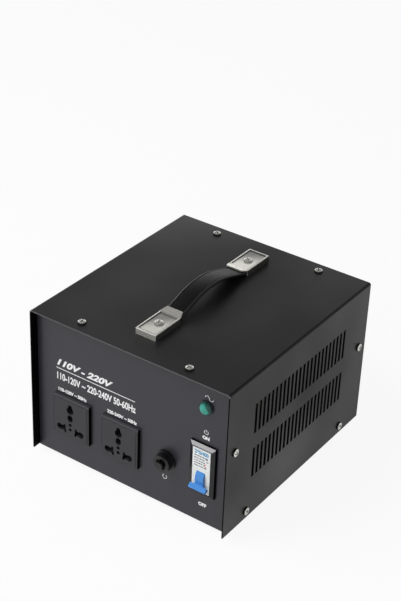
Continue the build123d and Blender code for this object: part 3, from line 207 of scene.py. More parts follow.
# Paint of the case
paint = {
    "colour": (0.0120, 0.0120, 0.0130),
    "panelColour": (0.0215, 0.0200, 0.0270),
    # painted highlight on the upper cut edges
    "edgeShadingColour": (0.11, 0.11, 0.115),
    # painted shade inside the case, over the vents' mouths and on the left cut edge
    "insideColour": (0.0022, 0.0022, 0.0024),
    "edgeHeight": 2.6 * mm,      # the painted highlight on the cut edges runs along the top only
    "faceDepth": 0.05 * mm,      # what lies deeper than this is no longer the outer face
    "roughness": (0.33, 0.40),
    "gloss": 0.30,
    "glossLumps": (0.72, 1.38),  # soft unevenness of the coat, as a share of its gloss
    "lumpScale": 11.0,
    "lumpSpan": (0.35, 0.65),    # values of the noise at its dull and its glossy end
    "farCorner": 0.90,           # share of the gloss at the far top corner of the right side
    "farSpan": (1.05, 1.75),     # share of the height plus that of the depth, where it starts and ends
    "sideSpots": (               # y, height above the lower edge, reach, share of the gloss there
        (-12.0 * mm, 32.0 * mm, 62.0 * mm, 1.95),
        (5.0 * mm, 90.0 * mm, 52.0 * mm, 0.60),
        (-104.0 * mm, 52.0 * mm, 48.0 * mm, 0.60),
        (-108.0 * mm, 8.0 * mm, 40.0 * mm, 1.25),
    ),
    "topGloss": (0.70, 1.9),     # share of the gloss on the top, and at its rear left corner
    "topSpan": (0.45, 1.0),      # share of the depth less that of the width, where it starts and ends
    "insideGloss": 0.02,
    "grain": (2600.0, 0.35, 0.04 * mm),   # scale of the noise, strength and depth of its bump
    "bend": 1.5 * mm,            # faint line of painted shade along the bends at both sides of the top
    "bendShadeColour": (0.0055, 0.0055, 0.0060),
    "bendGloss": 0.14,
    "ventRows": (57.0 * mm, 103.0 * mm),
    "ventPitch": 6.28 * mm,
    "ventCount": 24,
    "ventShadow": (3.9 * mm, 30.6 * mm),  # painted shade over the mouth of each slot: its width and height
}


def coat(name, colour):
    mat = newMaterial(name, colour)
    vary(mat, grain(mat, *paint["grain"]), *paint["roughness"])
    return mat


def ventShadow(mat, split, away):
    # Round each slot: the place across is folded into one pitch, and the height is near a row.
    pitch, half = paint["ventPitch"], paint["ventPitch"] * paint["ventCount"] / 2
    width, height = paint["ventShadow"]
    folded = calc(mat, "PINGPONG", calc(mat, "ADD", split["Y"], half), pitch / 2)
    across = both(mat, above(mat, folded, (pitch - width) / 2), below(mat, away["Y"], half))
    rows = [between(mat, split["Z"], footHeight + row - height / 2, footHeight + row + height / 2)
            for row in paint["ventRows"]]
    return both(mat, across, either(mat, *rows))


def softSpot(mat, place, centre, reach, level):
    # A level at a point that fades to one at the given reach from it.
    away = vectorCalc(mat, "DISTANCE", place, centre)["Value"]
    return remap(mat, away, 0.0, reach, level, 1.0)


def caseSheet():
    # Satin black coat: painted highlight on the upper cut edges; dull, painted shade inside the case and
    # vents.
    p = paint
    mat = coat("caseSheet", p["colour"])
    place = objectPlace(mat)
    split = splitPlace(mat, place)
    away = {axis: calc(mat, "ABSOLUTE", split[axis]) for axis in "XY"}
    cut = above(mat, away["Y"], caseHigh.y - p["faceDepth"])
    high = above(mat, split["Z"], caseTop - p["edgeHeight"])
    inWalls = both(mat, below(mat, away["X"], caseHigh.x - p["faceDepth"]),
                   below(mat, split["Z"], caseTop - p["edgeHeight"]))
    inTop = both(mat, below(mat, away["X"], caseHigh.x - p["edgeHeight"]),
                 below(mat, split["Z"], caseTop - p["faceDepth"]))
    bend = both(mat, above(mat, away["X"], caseHigh.x - p["bend"]),
                above(mat, split["Z"], caseTop - p["bend"]))
    leftCut = both(mat, cut, below(mat, split["X"], caseLow.x + p["bend"]))
    # Painted shade inside the walls and the top, over the vents' mouths and on the left cut edge.
    shadeMask = either(mat, inWalls, inTop)
    for mask in (ventShadow(mat, split, away), leftCut):
        shadeMask = either(mat, shadeMask, mask)
    # Faint painted shade along the bends.
    colour = tint(mat, p["colour"], bend, p["bendShadeColour"])
    colour = tint(mat, colour, shadeMask, p["insideColour"])
    # Painted highlight along the upper cut edges.
    colour = tint(mat, colour, both(mat, cut, high), p["edgeShadingColour"])
    feed(mat, colour, "Base Color")

    # The gloss: uneven all over, with soft spots on the right side and a rise across the top.
    lumps = addNode(mat, "ShaderNodeTexNoise", Scale=p["lumpScale"], Detail=1.0)
    plug(mat, place, lumps, "Vector")
    dullest, glossiest = (p["gloss"] * share for share in p["glossLumps"])
    uneven = remap(mat, lumps.outputs["Fac"], *p["lumpSpan"], dullest, glossiest, kind="LINEAR")
    width, depth, height = caseHigh - caseLow
    start = caseLow.z / height + caseLow.y / depth
    sideShare = remap(mat, along(mat, place, (0, 1 / depth, 1 / height)),
                      *(start + share for share in p["farSpan"]), 1.0, p["farCorner"])
    for y, up, reach, level in p["sideSpots"]:
        spot = softSpot(mat, place, (caseHigh.x, y, footHeight + up), reach, level)
        sideShare = both(mat, sideShare, spot)
    across = along(mat, place, (-1 / width, 1 / depth, 0))
    topShare = remap(mat, across, *p["topSpan"], *p["topGloss"])
    onSide = above(mat, split["X"], caseHigh.x - p["bend"])
    gloss = both(mat, uneven, instead(mat, topShare, onSide, sideShare))
    gloss = instead(mat, gloss, bend, p["bendGloss"])
    feed(mat, instead(mat, gloss, shadeMask, p["insideGloss"]), "Specular IOR Level")
    return mat


# Nickelled and other metal
nickelFinish = {
    "colour": (0.70, 0.68, 0.62),
    "roughness": (0.24, 0.40),
    "grain": (900.0, 0.25, 0.03 * mm),
    "stretch": (6, 0.12, 6),     # long polishing marks from front to rear
}


def brushedNickel():
    p = nickelFinish
    mat = newMaterial("brushedNickel", p["colour"], metallic=1.0)
    vary(mat, grain(mat, *p["grain"], stretch=p["stretch"], detail=2.0), *p["roughness"])
    return mat


capFinish = {
    "rim": 1.5 * mm,             # width of the painted highlight round the brushed middle
    "metallic": 0.76,            # the plate is a little hazy, so it takes some of the soft light
    "roughness": (0.22, 0.28),
    "grain": (700.0, 0.04, 0.02 * mm),
    "stretch": (4, 0.12, 1),     # the brushing runs along the handle
    "stepShadeColour": (0.16, 0.16, 0.15),
    "step": 0.5 * mm,            # thin line of painted shade where the middle is pressed in
    # painted highlight on the rim, the lip and all outside the sunk middle
    "rimColour": (1.0, 0.98, 0.91),
    # painted shade on the right-hand wall
    "sideShadeColour": (0.16, 0.16, 0.15),
    "side": 0.3 * mm,            # depth of the right-hand wall that this colour covers
    "flat": 35.4 * mm,           # length of the flat, before the lip over the strap
    "outerShadingColour": ((0.92, 0.90, 0.83), (0.26, 0.26, 0.25)),  # painted reflection at the outer end: of the front cap, of the rear cap
    # painted reflection further in: of the front cap, of the rear cap
    "innerShadingColour": ((0.34, 0.33, 0.31), (1.0, 0.98, 0.91)),
    "band": ((8.0 * mm, 33.0 * mm), (2.0 * mm, 27.0 * mm)),   # where one shade turns into the other
    "slant": (-0.9, -0.55),      # the shade runs a little across the cap as well
    "streaks": 2.5 * mm,         # and is broken up along the brushing
}


def capNickel(name, node, end):
    # Painted highlight on rim and lip; the brushed middle's painted reflection shifts shade along the
    # cap.
    p = capFinish
    low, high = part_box(node)
    which, outer = (0, low.y) if end < 0 else (1, high.y)
    inward, outward = (above, below) if end < 0 else (below, above)
    mat = newMaterial(name, p["rimColour"], metallic=p["metallic"])
    noise = grain(mat, *p["grain"], stretch=p["stretch"], detail=1.0)
    vary(mat, noise, *p["roughness"])
    place = objectPlace(mat)
    split = splitPlace(mat, place)
    slant = along(mat, place, (p["slant"][which], 1, 0))
    streaks = calc(mat, "MULTIPLY_ADD", noise, p["streaks"], slant)
    shade = remap(mat, streaks, *(outer - end * reach for reach in p["band"][which]))
    flat = outward(mat, split["Y"], outer - end * p["flat"])
    away = calc(mat, "ABSOLUTE", split["X"])

    def inset(margin):
        # One on the flat, further in than a margin from its sides and its outer end.
        clear = both(mat, below(mat, away, (high.x - low.x) / 2 - margin),
                     inward(mat, split["Y"], outer - end * margin))
        return both(mat, flat, clear)

    field = inset(p["rim"])
    # Thin line of painted shade at the step round the sunk middle.
    line = calc(mat, "SUBTRACT", field, inset(p["rim"] + p["step"]))
    middle = tint(mat, p["outerShadingColour"][which], shade, p["innerShadingColour"][which])
    middle = tint(mat, middle, line, p["stepShadeColour"])
    colour = tint(mat, p["rimColour"], field, middle)
    colour = tint(mat, colour, above(mat, split["X"], high.x - p["side"]), p["sideShadeColour"])
    feed(mat, colour, "Base Color")
    return mat


screwFinish = {
    "colour": (0.86, 0.85, 0.80),
    "caseShade": (0.035, 0.034, 0.032),   # painted shade in the recess and round the edge
    # the same painted shade, lighter, on the handle's screws
    "handleShade": (0.30, 0.29, 0.27),
    "metallic": 0.72,
    "roughness": (0.18, 0.32),
    "grain": (1500.0, 0.15, 0.03 * mm),
}


def brightScrew(headShade):
    # Nickel plate, with painted shade in the recess and round the edge, where the mesh marks them.
    p = screwFinish
    mat = newMaterial("brightScrew", p["colour"], metallic=p["metallic"])
    vary(mat, grain(mat, *p["grain"]), *p["roughness"])
    mark = addNode(mat, "ShaderNodeAttribute", attribute_name="headShade").outputs["Fac"]
    feed(mat, tint(mat, p["colour"], mark, p[headShade]), "Base Color")
    return mat


def ridged(name, colour, roughness, metallic, axis, scale, distortion, strength, depth):
    # Fine ridges that follow each other along an axis, as bump.
    mat = newMaterial(name, colour, roughness, metallic)
    waves = addNode(mat, "ShaderNodeTexWave", bands_direction=axis, Scale=scale, Distortion=distortion)
    plug(mat, objectPlace(mat), waves, "Vector")
    addBump(mat, waves.outputs["Fac"], strength, depth)
    return mat


# Plastics, rubber and the lens
plainFinish = {"scale": 1800.0, "depth": 0.03 * mm, "spread": 0.05}   # spread of the roughness


def plain(name, colour, roughness, strength=0.2, metallic=0.0):
    p = plainFinish
    mat = newMaterial(name, colour, metallic=metallic)
    noise = grain(mat, p["scale"], strength, p["depth"])
    vary(mat, noise, roughness - p["spread"], roughness + p["spread"])
    return mat


strapFinish = {
    "colour": (0.0055, 0.0055, 0.0060),
    "gloss": 0.30,
    "edgeShadingColour": (0.20, 0.20, 0.205),
    "edge": 0.7 * mm,            # width of the paler line along the left side, a painted highlight
    "groove": (6.6 * mm, 7.3 * mm),
    "ridge": (7.5 * mm, 8.3 * mm),
    # painted shade in the groove, and a painted highlight on the ridge
    "grooveColour": (0.001, 0.001, 0.001),
    "ridgeColour": (0.035, 0.035, 0.037),
    "roughness": (0.36, 0.50),
    "cellScale": 1400.0,         # leather-like cells, roughened by a finer noise
    "noiseScale": 700.0,
    "grain": (0.45, 0.08 * mm),
}


def strapSkin():
    # Soft black PVC, leather-like grain; painted highlight on the left edge and ridge, painted shade in
    # the groove.
    p = strapFinish
    mat = newMaterial("strapSkin", p["colour"])
    feed(mat, p["gloss"], "Specular IOR Level")
    place = objectPlace(mat)
    across = splitPlace(mat, place)["X"]
    edgeHighlight = below(mat, across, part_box("handle_strap")[0].x + p["edge"])
    colour = tint(mat, p["colour"], edgeHighlight, p["edgeShadingColour"])
    # Painted shade in the groove, painted highlight on the ridge.
    for line in ("groove", "ridge"):
        colour = tint(mat, colour, between(mat, across, *p[line]), p[line + "Colour"])
    feed(mat, colour, "Base Color")
    cells = addNode(mat, "ShaderNodeTexVoronoi", Scale=p["cellScale"], feature="DISTANCE_TO_EDGE")
    noise = addNode(mat, "ShaderNodeTexNoise", Scale=p["noiseScale"], Detail=4.0)
    for texture in (cells, noise):
        plug(mat, place, texture, "Vector")
    addBump(mat, calc(mat, "ADD", cells.outputs["Distance"], noise.outputs["Fac"]), *p["grain"])
    vary(mat, noise.outputs["Fac"], *p["roughness"])
    return mat


bezelFinish = {
    "colour": (0.0070, 0.0075, 0.0075),
    "bevelHighlightColour": (0.40, 0.39, 0.40),   # painted highlight on the upper bevel, which faces the light
    # painted shade on the outer walls
    "outerShadingColour": (0.0008, 0.0008, 0.0008),
    "gloss": (0.45, 0.02),       # of the face, and of the outer walls
    "wall": 1.7 * mm,
    "bevel": 3.1 * mm,
    "outer": 0.8 * mm,
}


def bezelPlastic():
    # Satin moulding: painted highlight on the upper bevel between its mitres, painted shade on the outer
    # walls.
    p = bezelFinish
    low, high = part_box("breaker_bezel")
    mat = plain("bezelPlastic", p["colour"], 0.30, strength=0.1)
    split = splitPlace(mat, objectPlace(mat))
    away = calc(mat, "ABSOLUTE", calc(mat, "SUBTRACT", split["X"], (low.x + high.x) / 2))
    mitre = calc(mat, "SUBTRACT", split["Z"], away)
    top = both(mat, above(mat, mitre, high.z - (high.x - low.x) / 2),
               above(mat, split["Z"], high.z - p["bevel"]))
    outer = either(mat, above(mat, split["Y"], high.y - p["wall"]),
                   above(mat, split["X"], high.x - p["outer"]))
    colour = tint(mat, p["colour"], top, p["bevelHighlightColour"])
    feed(mat, tint(mat, colour, outer, p["outerShadingColour"]), "Base Color")
    feed(mat, instead(mat, p["gloss"][0], outer, p["gloss"][1]), "Specular IOR Level")
    return mat


toggleFinish = {
    "colour": (0.055, 0.25, 0.66),
    # painted shade along the upper end and under the finger bar
    "edgeShadingColour": (0.010, 0.045, 0.17),
    "edge": 0.9 * mm,
}


def togglePlastic():
    # Blue moulding with a darker line of painted shade along its upper end and under the finger bar.
    p = toggleFinish
    low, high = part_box("breaker_toggle")
    mat = plain("togglePlastic", p["colour"], 0.36)
    height = splitPlace(mat, objectPlace(mat))["Z"]
    ends = either(mat, above(mat, height, high.z - p["edge"]),
                  below(mat, height, low.z + p["edge"]))
    feed(mat, tint(mat, p["colour"], ends, p["edgeShadingColour"]), "Base Color")
    return mat


socketFinish = {
    "colour": (0.0235, 0.0225, 0.0265),
    "edgeShadingColour": (0.050, 0.049, 0.054),   # painted highlight on the upper and right bevels
    # painted shade on the right-hand wall
    "sideShadeColour": (0.0006, 0.0006, 0.0006),
    "gloss": (0.4, 0.02),        # of the face, and of the right-hand wall
    "wall": 0.35 * mm,
    "bevel": 1.25 * mm,
}


def socketPlastic(name, node):
    # Satin moulding: painted highlight on the upper and right bevels, painted shade on the right-hand
    # wall.
    p = socketFinish
    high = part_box(node)[1]
    mat = plain(name, p["colour"], 0.40)
    split = splitPlace(mat, objectPlace(mat))
    edge = either(mat, above(mat, split["X"], high.x - p["bevel"]),
                  above(mat, split["Z"], high.z - p["bevel"]))
    side = above(mat, split["X"], high.x - p["wall"])
    colour = tint(mat, p["colour"], edge, p["edgeShadingColour"])
    feed(mat, tint(mat, colour, side, p["sideShadeColour"]), "Base Color")
    feed(mat, instead(mat, p["gloss"][0], side, p["gloss"][1]), "Specular IOR Level")
    return mat


lensFinish = {
    "colour": (0.022, 0.30, 0.235),
    # painted shade round the edge and on the side turned from the light
    "lensShadeColour": (0.003, 0.060, 0.050),
    "shade": (0.30, 0.75),       # of the lens radius, from its middle towards the shaded side
    "shadeDirection": (0.8, 0.6),
    "ring": (0.72, 0.90),        # the ring of painted shade round the lens, in shares of its radius
    "roughness": (0.16, 0.30),
    "grain": (480.0, 0.8, 0.8 * mm),
}


def greenLens():
    # Moulded lens, deep green with painted shade round its edge and where the dome turns away from the
    # light.
    p = lensFinish
    mat = newMaterial("greenLens", p["colour"])
    vary(mat, grain(mat, *p["grain"]), *p["roughness"])
    low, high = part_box("lamp_lens")
    middle, radius = (low + high) / 2, (high.x - low.x) / 2
    across, up = p["shadeDirection"]
    place = objectPlace(mat)
    start = across * middle.x + up * middle.z
    towards = along(mat, place, (across, 0, up))
    shade = remap(mat, towards, *(start + share * radius for share in p["shade"]))
    flat = vectorCalc(mat, "MULTIPLY", place, (1, 0, 1))["Vector"]
    away = vectorCalc(mat, "DISTANCE", flat, (middle.x, 0, middle.z))["Value"]
    ring = remap(mat, away, *(share * radius for share in p["ring"]))
    feed(mat, tint(mat, p["colour"], either(mat, shade, ring), p["lensShadeColour"]), "Base Color")
    return mat


finishes = {
    "black_sheet": coat("panelSheet", paint["panelColour"]),
    "nickelled_steel": brushedNickel(),
    "zinc_steel": plain("zincSteel", (0.55, 0.56, 0.58), 0.35, metallic=1.0),
    "rubber": plain("footRubber", (0.018, 0.018, 0.018), 0.75),
    "soft_strap": strapSkin(),
    "black_plastic": plain("blackPlastic", (0.020, 0.019, 0.023), 0.38),
    "dark_plastic": plain("darkPlastic", (0.012, 0.012, 0.012), 0.5),
    "brass": plain("pressedBrass", (0.72, 0.55, 0.28), 0.3, metallic=1.0),
    "green_lens": greenLens(),
    "bulb_glass": plain("bulbGlass", (0.55, 0.55, 0.5), 0.1),
    "cream_plastic": plain("breakerWhite", (0.80, 0.82, 0.80), 0.38),
    "blue_plastic": togglePlastic(),
    "red_plastic": plain("redPlastic", (0.55, 0.02, 0.015), 0.35),
    # Edges of thin laminations stacked from front to back, and turns of round wire up the winding.
    "core_steel": ridged("laminatedSteel", (0.10, 0.10, 0.11), 0.45, 0.7, "Y", 320.0, 0.6, 0.5, 0.2 * mm),
    "copper": ridged("copperWinding", (0.45, 0.17, 0.06), 0.35, 0.9, "Z", 160.0, 0.0, 0.8, 0.4 * mm),
    "bobbin_plastic": plain("bobbinNylon", (0.55, 0.52, 0.42), 0.5),
    "yellow_tape": plain("yellowTape", (0.70, 0.45, 0.04), 0.35),
    "painted_steel": plain("clampPaint", (0.05, 0.05, 0.055), 0.45),
    "wire_cover": plain("wireCover", (0.015, 0.015, 0.016), 0.4),
    "earth_cover": plain("earthCover", (0.42, 0.45, 0.03), 0.4),
}


def dress(node, mat):
    nodes[node].data.materials.clear()
    nodes[node].data.materials.append(mat)


for part in frame["record"]["subparts"]:
    dress(part["node"], finishes[part["material_slot"]])
dress("cover", caseSheet())
dress("front_handle_cap", capNickel("frontCapNickel", "front_handle_cap", -1))
dress("rear_handle_cap", capNickel("rearCapNickel", "rear_handle_cap", 1))
dress("breaker_bezel", bezelPlastic())
dress("left_socket_face", socketPlastic("leftSocketPlastic", "left_socket_face"))
dress("right_socket_face", socketPlastic("rightSocketPlastic", "right_socket_face"))
dress("reset_collar", plain("resetPlastic", (0.004, 0.004, 0.0045), 0.34))
dress("reset_button", plain("buttonPlastic", (0.003, 0.003, 0.003), 0.30))
print("stage: finishes on all nodes")


# Mesh helpers
def newPiece(name, mesh, mat, body="transformer"):
    piece = bpy.data.objects.new(name, mesh)
    bpy.context.scene.collection.objects.link(piece)
    mesh.materials.append(mat)
    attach(piece, body)
    return piece


def gridFaces(rows, columns):
    # Quads between neighbouring rows of a grid whose last column joins its first.
    row = np.arange(rows - 1)[:, None]
    col = np.arange(columns)[None, :]
    nextCol = (col + 1) % columns
    quads = np.stack([row * columns + col, row * columns + nextCol,
                      (row + 1) * columns + nextCol, (row + 1) * columns + col], axis=-1)
    return quads.reshape(-1, 4)


def meshFrom(name, points, faces, smooth=True):
    mesh = bpy.data.meshes.new(name)
    mesh.from_pydata(points.tolist(), [], [list(map(int, face)) for face in faces])
    mesh.polygons.foreach_set("use_smooth", np.full(len(mesh.polygons), smooth))
    mesh.update()
    return mesh


# Screw heads with a cross recess
screwHeads = {
    "crossWidth": 1.15 * mm,
    "crossLength": 0.66,     # of the head's radius
    "crossDepth": 1.2 * mm,
    "crossTaper": 0.45,      # share of that depth which is lost towards the edge
    "crossSlope": 0.16 * mm,     # width of the soft step at the cross's sides
    "domeDrop": 0.45,        # share of the height which the dome loses at its edge
    "edgeDrop": 0.25,        # and what the rounded edge loses on top of it
    "edgeStart": 0.9,        # share of the radius where that rounding starts
    "darkEdge": 0.90,        # share of the radius past which the head gets painted shade
    "tip": 0.02,             # share of the radius at which the middle is closed with a fan
    "rings": 26,
    "segments": 64,
}


def headMesh(name, seats, plan):
    # Each head is a profile turned about the seat's axis, from the shank's end up over the dome.
    # The dome falls with the square of the share of the radius, and again near its rounded edge;
    # inside the cross it is lowered by a soft step, less so towards the edge.
    s = screwHeads
    headRadius, headHeight = plan["headRadius"], plan["headHeight"]
    shankRadius, length = plan["shankRadius"], plan["length"]
    angle = np.linspace(0, 2 * np.pi, s["segments"], endpoint=False)[None, :]
    share = np.linspace(1.0, s["tip"], s["rings"])[:, None] * np.ones_like(angle)
    x, y = share * headRadius * np.cos(angle), share * headRadius * np.sin(angle)
    rounding = np.clip((share - s["edgeStart"]) / (1 - s["edgeStart"]), 0, 1)
    z = headHeight * (1 - s["domeDrop"] * share ** 2 - s["edgeDrop"] * rounding ** 2)
    reach, half = s["crossLength"] * headRadius, s["crossWidth"] / 2
    bar = np.maximum(np.abs(x) - reach, np.abs(y) - half)
    cross = np.maximum(np.abs(y) - reach, np.abs(x) - half)
    inside = np.clip(0.5 - np.minimum(bar, cross) / s["crossSlope"], 0, 1)
    z = z - s["crossDepth"] * inside * (1 - s["crossTaper"] * share)
    around = np.stack([np.cos(angle[0]), np.sin(angle[0]), np.ones(s["segments"])], -1)
    outline = ((s["tip"] * shankRadius, -length), (shankRadius, -length),
               (shankRadius, 0), (headRadius, 0))
    skirt = [around * [radius, radius, height] for radius, height in outline]
    grid = np.concatenate([np.array(skirt), np.stack([x, y, z], axis=-1)])
    rows = len(grid)
    head = np.concatenate([grid.reshape(-1, 3), [[0, 0, -length], [0, 0, z[-1].mean()]]])
    # Painted shade in the cross recess and round the edge, for the material to read.
    headShade = np.maximum(inside, share > s["darkEdge"])
    headShade = np.concatenate([np.ones(len(skirt) * s["segments"]), headShade.ravel(), [1.0, 1.0]])

    # Quads between the rings, and a fan of triangles at each end.
    k = np.arange(s["segments"])
    n = (k + 1) % s["segments"]
    last = (rows - 1) * s["segments"]
    bottom, top = len(head) - 2, len(head) - 1
    fans = np.concatenate([np.stack([n, k, np.full_like(k, bottom)], -1),
                           np.stack([last + k, last + n, np.full_like(k, top)], -1)])
    quads = gridFaces(rows, s["segments"])
    points, faces = [], []
    for index, (spot, normal) in enumerate(seats):
        twist = Matrix.Rotation(plan["turns"][index % len(plan["turns"])], 3, "Z")
        upright = Vector(normal).to_track_quat("Z", "Y").to_matrix() @ twist
        points.append(head @ np.array(upright).T + np.array(spot))
        faces += (quads + index * len(head)).tolist() + (fans + index * len(head)).tolist()
    mesh = meshFrom(name, np.concatenate(points), faces)
    marks = mesh.attributes.new("headShade", "FLOAT", "POINT")
    marks.data.foreach_set("value", np.tile(headShade, len(seats)))
    return mesh


coverScrews = {
    "headRadius": 3.9 * mm,
    "headHeight": 2.4 * mm,
    "shankRadius": 1.95 * mm,
    "length": 7.0 * mm,
    "topX": 57.0 * mm,
    "panelInset": 12.0 * mm,
    "sideHeight": 85.0 * mm,
    "floorInset": 35.0 * mm,
    "floorHeight": 8.0 * mm,
    "turns": (0.2, 0.9, 0.5, 1.3, 0.0, 0.7, 1.1, 0.35, 1.45, 0.6, 0.1, 0.8),
}


def coverScrewSeats():
    # At each end of the case and on each side: one screw in the top and two in the wall.
    seats = []
    p = coverScrews
    for end in (-1, 1):
        panelScrewY = end * (caseHigh.y - p["panelInset"])
        floorScrewY = end * (caseHigh.y - p["floorInset"])
        for side in (-1, 1):
            seats.append(((side * p["topX"], panelScrewY, caseTop), (0, 0, 1)))
            for y, height in ((panelScrewY, p["sideHeight"]), (floorScrewY, p["floorHeight"])):
                seats.append(((side * caseHigh.x, y, footHeight + height), (side, 0, 0)))
    return seats


heads = headMesh("coverScrewHeads", coverScrewSeats(), coverScrews)
screws = newPiece("coverScrewHeads", heads, brightScrew("caseShade"))
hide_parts("cover_screws")

handleScrews = {
    "headRadius": 4.3 * mm,
    "headHeight": 2.0 * mm,
    "shankRadius": 2.5 * mm,
    "length": 13.0 * mm,
    "y": (-68.0 * mm, 70.0 * mm),
    "seat": 5.1 * mm,        # height of the caps' sunk middles above the cover
    "turns": (0.3, 0.95),
}
seats = [((0, y, caseTop + handleScrews["seat"]), (0, 0, 1)) for y in handleScrews["y"]]
heads = headMesh("handleScrewHeads", seats, handleScrews)
screws = newPiece("handleScrewHeads", heads, brightScrew("handleShade"))
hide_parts("handle_screws")
print("stage: screw heads")


# The reset spring is the CAD coil again, as a piece of its own with its own mesh.
coil = nodes["reset_spring"].data.copy()
coil.materials.clear()
spring = newPiece("resetSpringCoil", coil, finishes["zinc_steel"])
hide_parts("reset_spring")
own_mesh(spring)
print("stage: reset spring")


# Strap of the handle
strapPlan = {
    "centreY": 1.0,              # all in millimetres; heights are above the cover
    "tail": 81.0,
    "knee": 51.50,
    "shoulder": 12.999,
    "low": 2.3,
    "rise": 12.0,
    "kneeRadius": 24.0,
    "shoulderRadius": 80.69,
    "half": 9.3,
    "edgeRound": 1.0,
    "edge": 1.6,                 # half the thickness at the edges
    "crown": 0.4,                # and what the middle adds to it
    "groove": (6.95, 0.36, 0.62),   # place across, half width and depth, beside each edge
    "ridge": (7.85, 0.40, 0.16),
    "crease": (0.10, 1.5, 4.5),  # depth, spacing and reach of the fine creases at the caps
    "step": 0.8,                 # between points along the line
    "across": 121,               # points across each face
    "round": 8,                  # and round each edge
}


def strapLine():
    # Straight runs joined by arcs: each corner gives its two tangent points and an arc between them.
    p = strapPlan
    top = p["low"] + p["rise"]
    corners = np.array([(-p["tail"], p["low"]), (-p["knee"], p["low"]), (-p["shoulder"], top),
                        (p["shoulder"], top), (p["knee"], p["low"]), (p["tail"], p["low"])])
    radii = (p["kneeRadius"], p["shoulderRadius"], p["shoulderRadius"], p["kneeRadius"])
    points, turns = [], []
    start = corners[0]
    for before, corner, after, radius in zip(corners, corners[1:], corners[2:], radii):
        inward, outward = (corner - before), (after - corner)
        a, b = math.atan2(inward[1], inward[0]), math.atan2(outward[1], outward[0])
        cut = radius * math.tan(abs(b - a) / 2)
        enter = corner - cut * np.array([math.cos(a), math.sin(a)])
        count = max(2, int(np.linalg.norm(enter - start) / p["step"]))
        share = np.linspace(0, 1, count, endpoint=False)[:, None]
        points.append(start + share * (enter - start))
        turns.append(np.full(count, a))
        count = max(4, int(radius * abs(b - a) / p["step"]))
        angle = np.linspace(a, b, count, endpoint=False)
        side = 1.0 if b > a else -1.0
        middle = enter + side * radius * np.array([-math.sin(a), math.cos(a)])
        points.append(middle + side * radius * np.stack([np.sin(angle), -np.cos(angle)], -1))
        turns.append(angle)
        start = corner + cut * np.array([math.cos(b), math.sin(b)])
    count = int(np.linalg.norm(corners[-1] - start) / p["step"])
    points.append(start + np.linspace(0, 1, count)[:, None] * (corners[-1] - start))
    turns.append(np.zeros(count))
    return np.concatenate(points), np.concatenate(turns)


def strapProfile():
    # The face is crowned with the square of the distance across, less a narrow groove and plus a low
    # ridge beside each edge, both bell curves of that distance; quarter circles round the four edges.
    p = strapPlan
    r = p["edgeRound"]
    w = p["half"] - r
    x = np.linspace(-w, w, p["across"])
    under = h = p["edge"] + p["crown"] * (1 - (x / w) ** 2)
    for (place, width, depth), sign in ((p["groove"], -1), (p["ridge"], 1)):
        h = h + sign * depth * np.exp(-((np.abs(x) - place) / width) ** 2)
    t = np.linspace(0, np.pi / 2, p["round"] + 1)[1:]
    right = np.stack([w + r * np.sin(t), p["edge"] - r + r * np.cos(t)], -1)
    return np.concatenate([np.stack([x, h], -1), right, right[::-1] * [1, -1],
                           np.stack([x, -under], -1)[::-1], right * [-1, -1], right[::-1] * [-1, 1]])


def makeStrap():
    # The profile stands on the line: across is x, and its height goes along the line's normal.
    line, turn = strapLine()
    profile = strapProfile()
    depth, spacing, reach = strapPlan["crease"]
    near = np.abs(np.abs(line[:, 0]) - strapPlan["knee"]) / reach
    crease = depth * np.exp(-near ** 2) * (1 + np.cos(2 * np.pi * line[:, 0] / spacing)) / 2
    height = profile[None, :, 1] - crease[:, None] * (profile[None, :, 1] > 0)
    x = profile[None, :, 0] * np.ones_like(height)
    y = line[:, 0, None] - np.sin(turn)[:, None] * height + strapPlan["centreY"]
    z = line[:, 1, None] + np.cos(turn)[:, None] * height
    grid = np.stack([x, y, z], -1) * mm + [0, 0, caseTop]
    rows, columns = height.shape
    ends = [list(range(columns))[::-1], list(range((rows - 1) * columns, rows * columns))]
    return meshFrom("strapBand", grid.reshape(-1, 3), gridFaces(rows, columns).tolist() + ends)


strap = newPiece("strapBand", makeStrap(), finishes["soft_strap"])
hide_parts("handle_strap")
print("stage: strap")


# Flat drawings for the print, as points and faces in millimetres
def textMesh(body, height, width=None, bold=0.0, slant=0.0):
    # Flat letters of a given height, squeezed or spread to a given width, about the origin.
    curve = bpy.data.curves.new("letters", "FONT")
    curve.body = body
    curve.offset = bold
    curve.shear = slant
    thing = bpy.data.objects.new("letters", curve)
    bpy.context.scene.collection.objects.link(thing)
    bpy.context.view_layer.update()
    graph = bpy.context.evaluated_depsgraph_get()
    mesh = bpy.data.meshes.new_from_object(thing.evaluated_get(graph))
    bpy.data.objects.remove(thing)
    places = np.zeros(len(mesh.vertices) * 3)
    mesh.vertices.foreach_get("co", places)
    places = places.reshape(-1, 3)
    low, high = places.min(0), places.max(0)
    scaleY = height / (high[1] - low[1])
    scaleX = width / (high[0] - low[0]) if width else scaleY
    faces = [list(face.vertices) for face in mesh.polygons]
    bpy.data.meshes.remove(mesh)
    return (places - (low + high) / 2) * [scaleX, scaleY, 0], faces


def barMesh(width, height):
    # Rectangle about the origin.
    x, y = width / 2, height / 2
    return np.array([(-x, -y, 0), (x, -y, 0), (x, y, 0), (-x, y, 0)]), [[0, 1, 2, 3]]


def arrowMesh(width, height):
    # Triangle that points down.
    x, y = width / 2, height / 2
    return np.array([(-x, y, 0), (0, -y, 0), (x, y, 0)]), [[0, 1, 2]]


def arcMesh(radius, width, start, end, steps=28):
    # Flat ring segment between two angles, in degrees from the right, counter-clockwise.
    angle = np.radians(np.linspace(start, end, steps))
    ring = np.stack([np.cos(angle), np.sin(angle), 0 * angle], -1)
    points = np.concatenate([ring * (radius - width / 2), ring * (radius + width / 2)])
    return points, [[i, steps + i, steps + i + 1, i + 1] for i in range(steps - 1)]


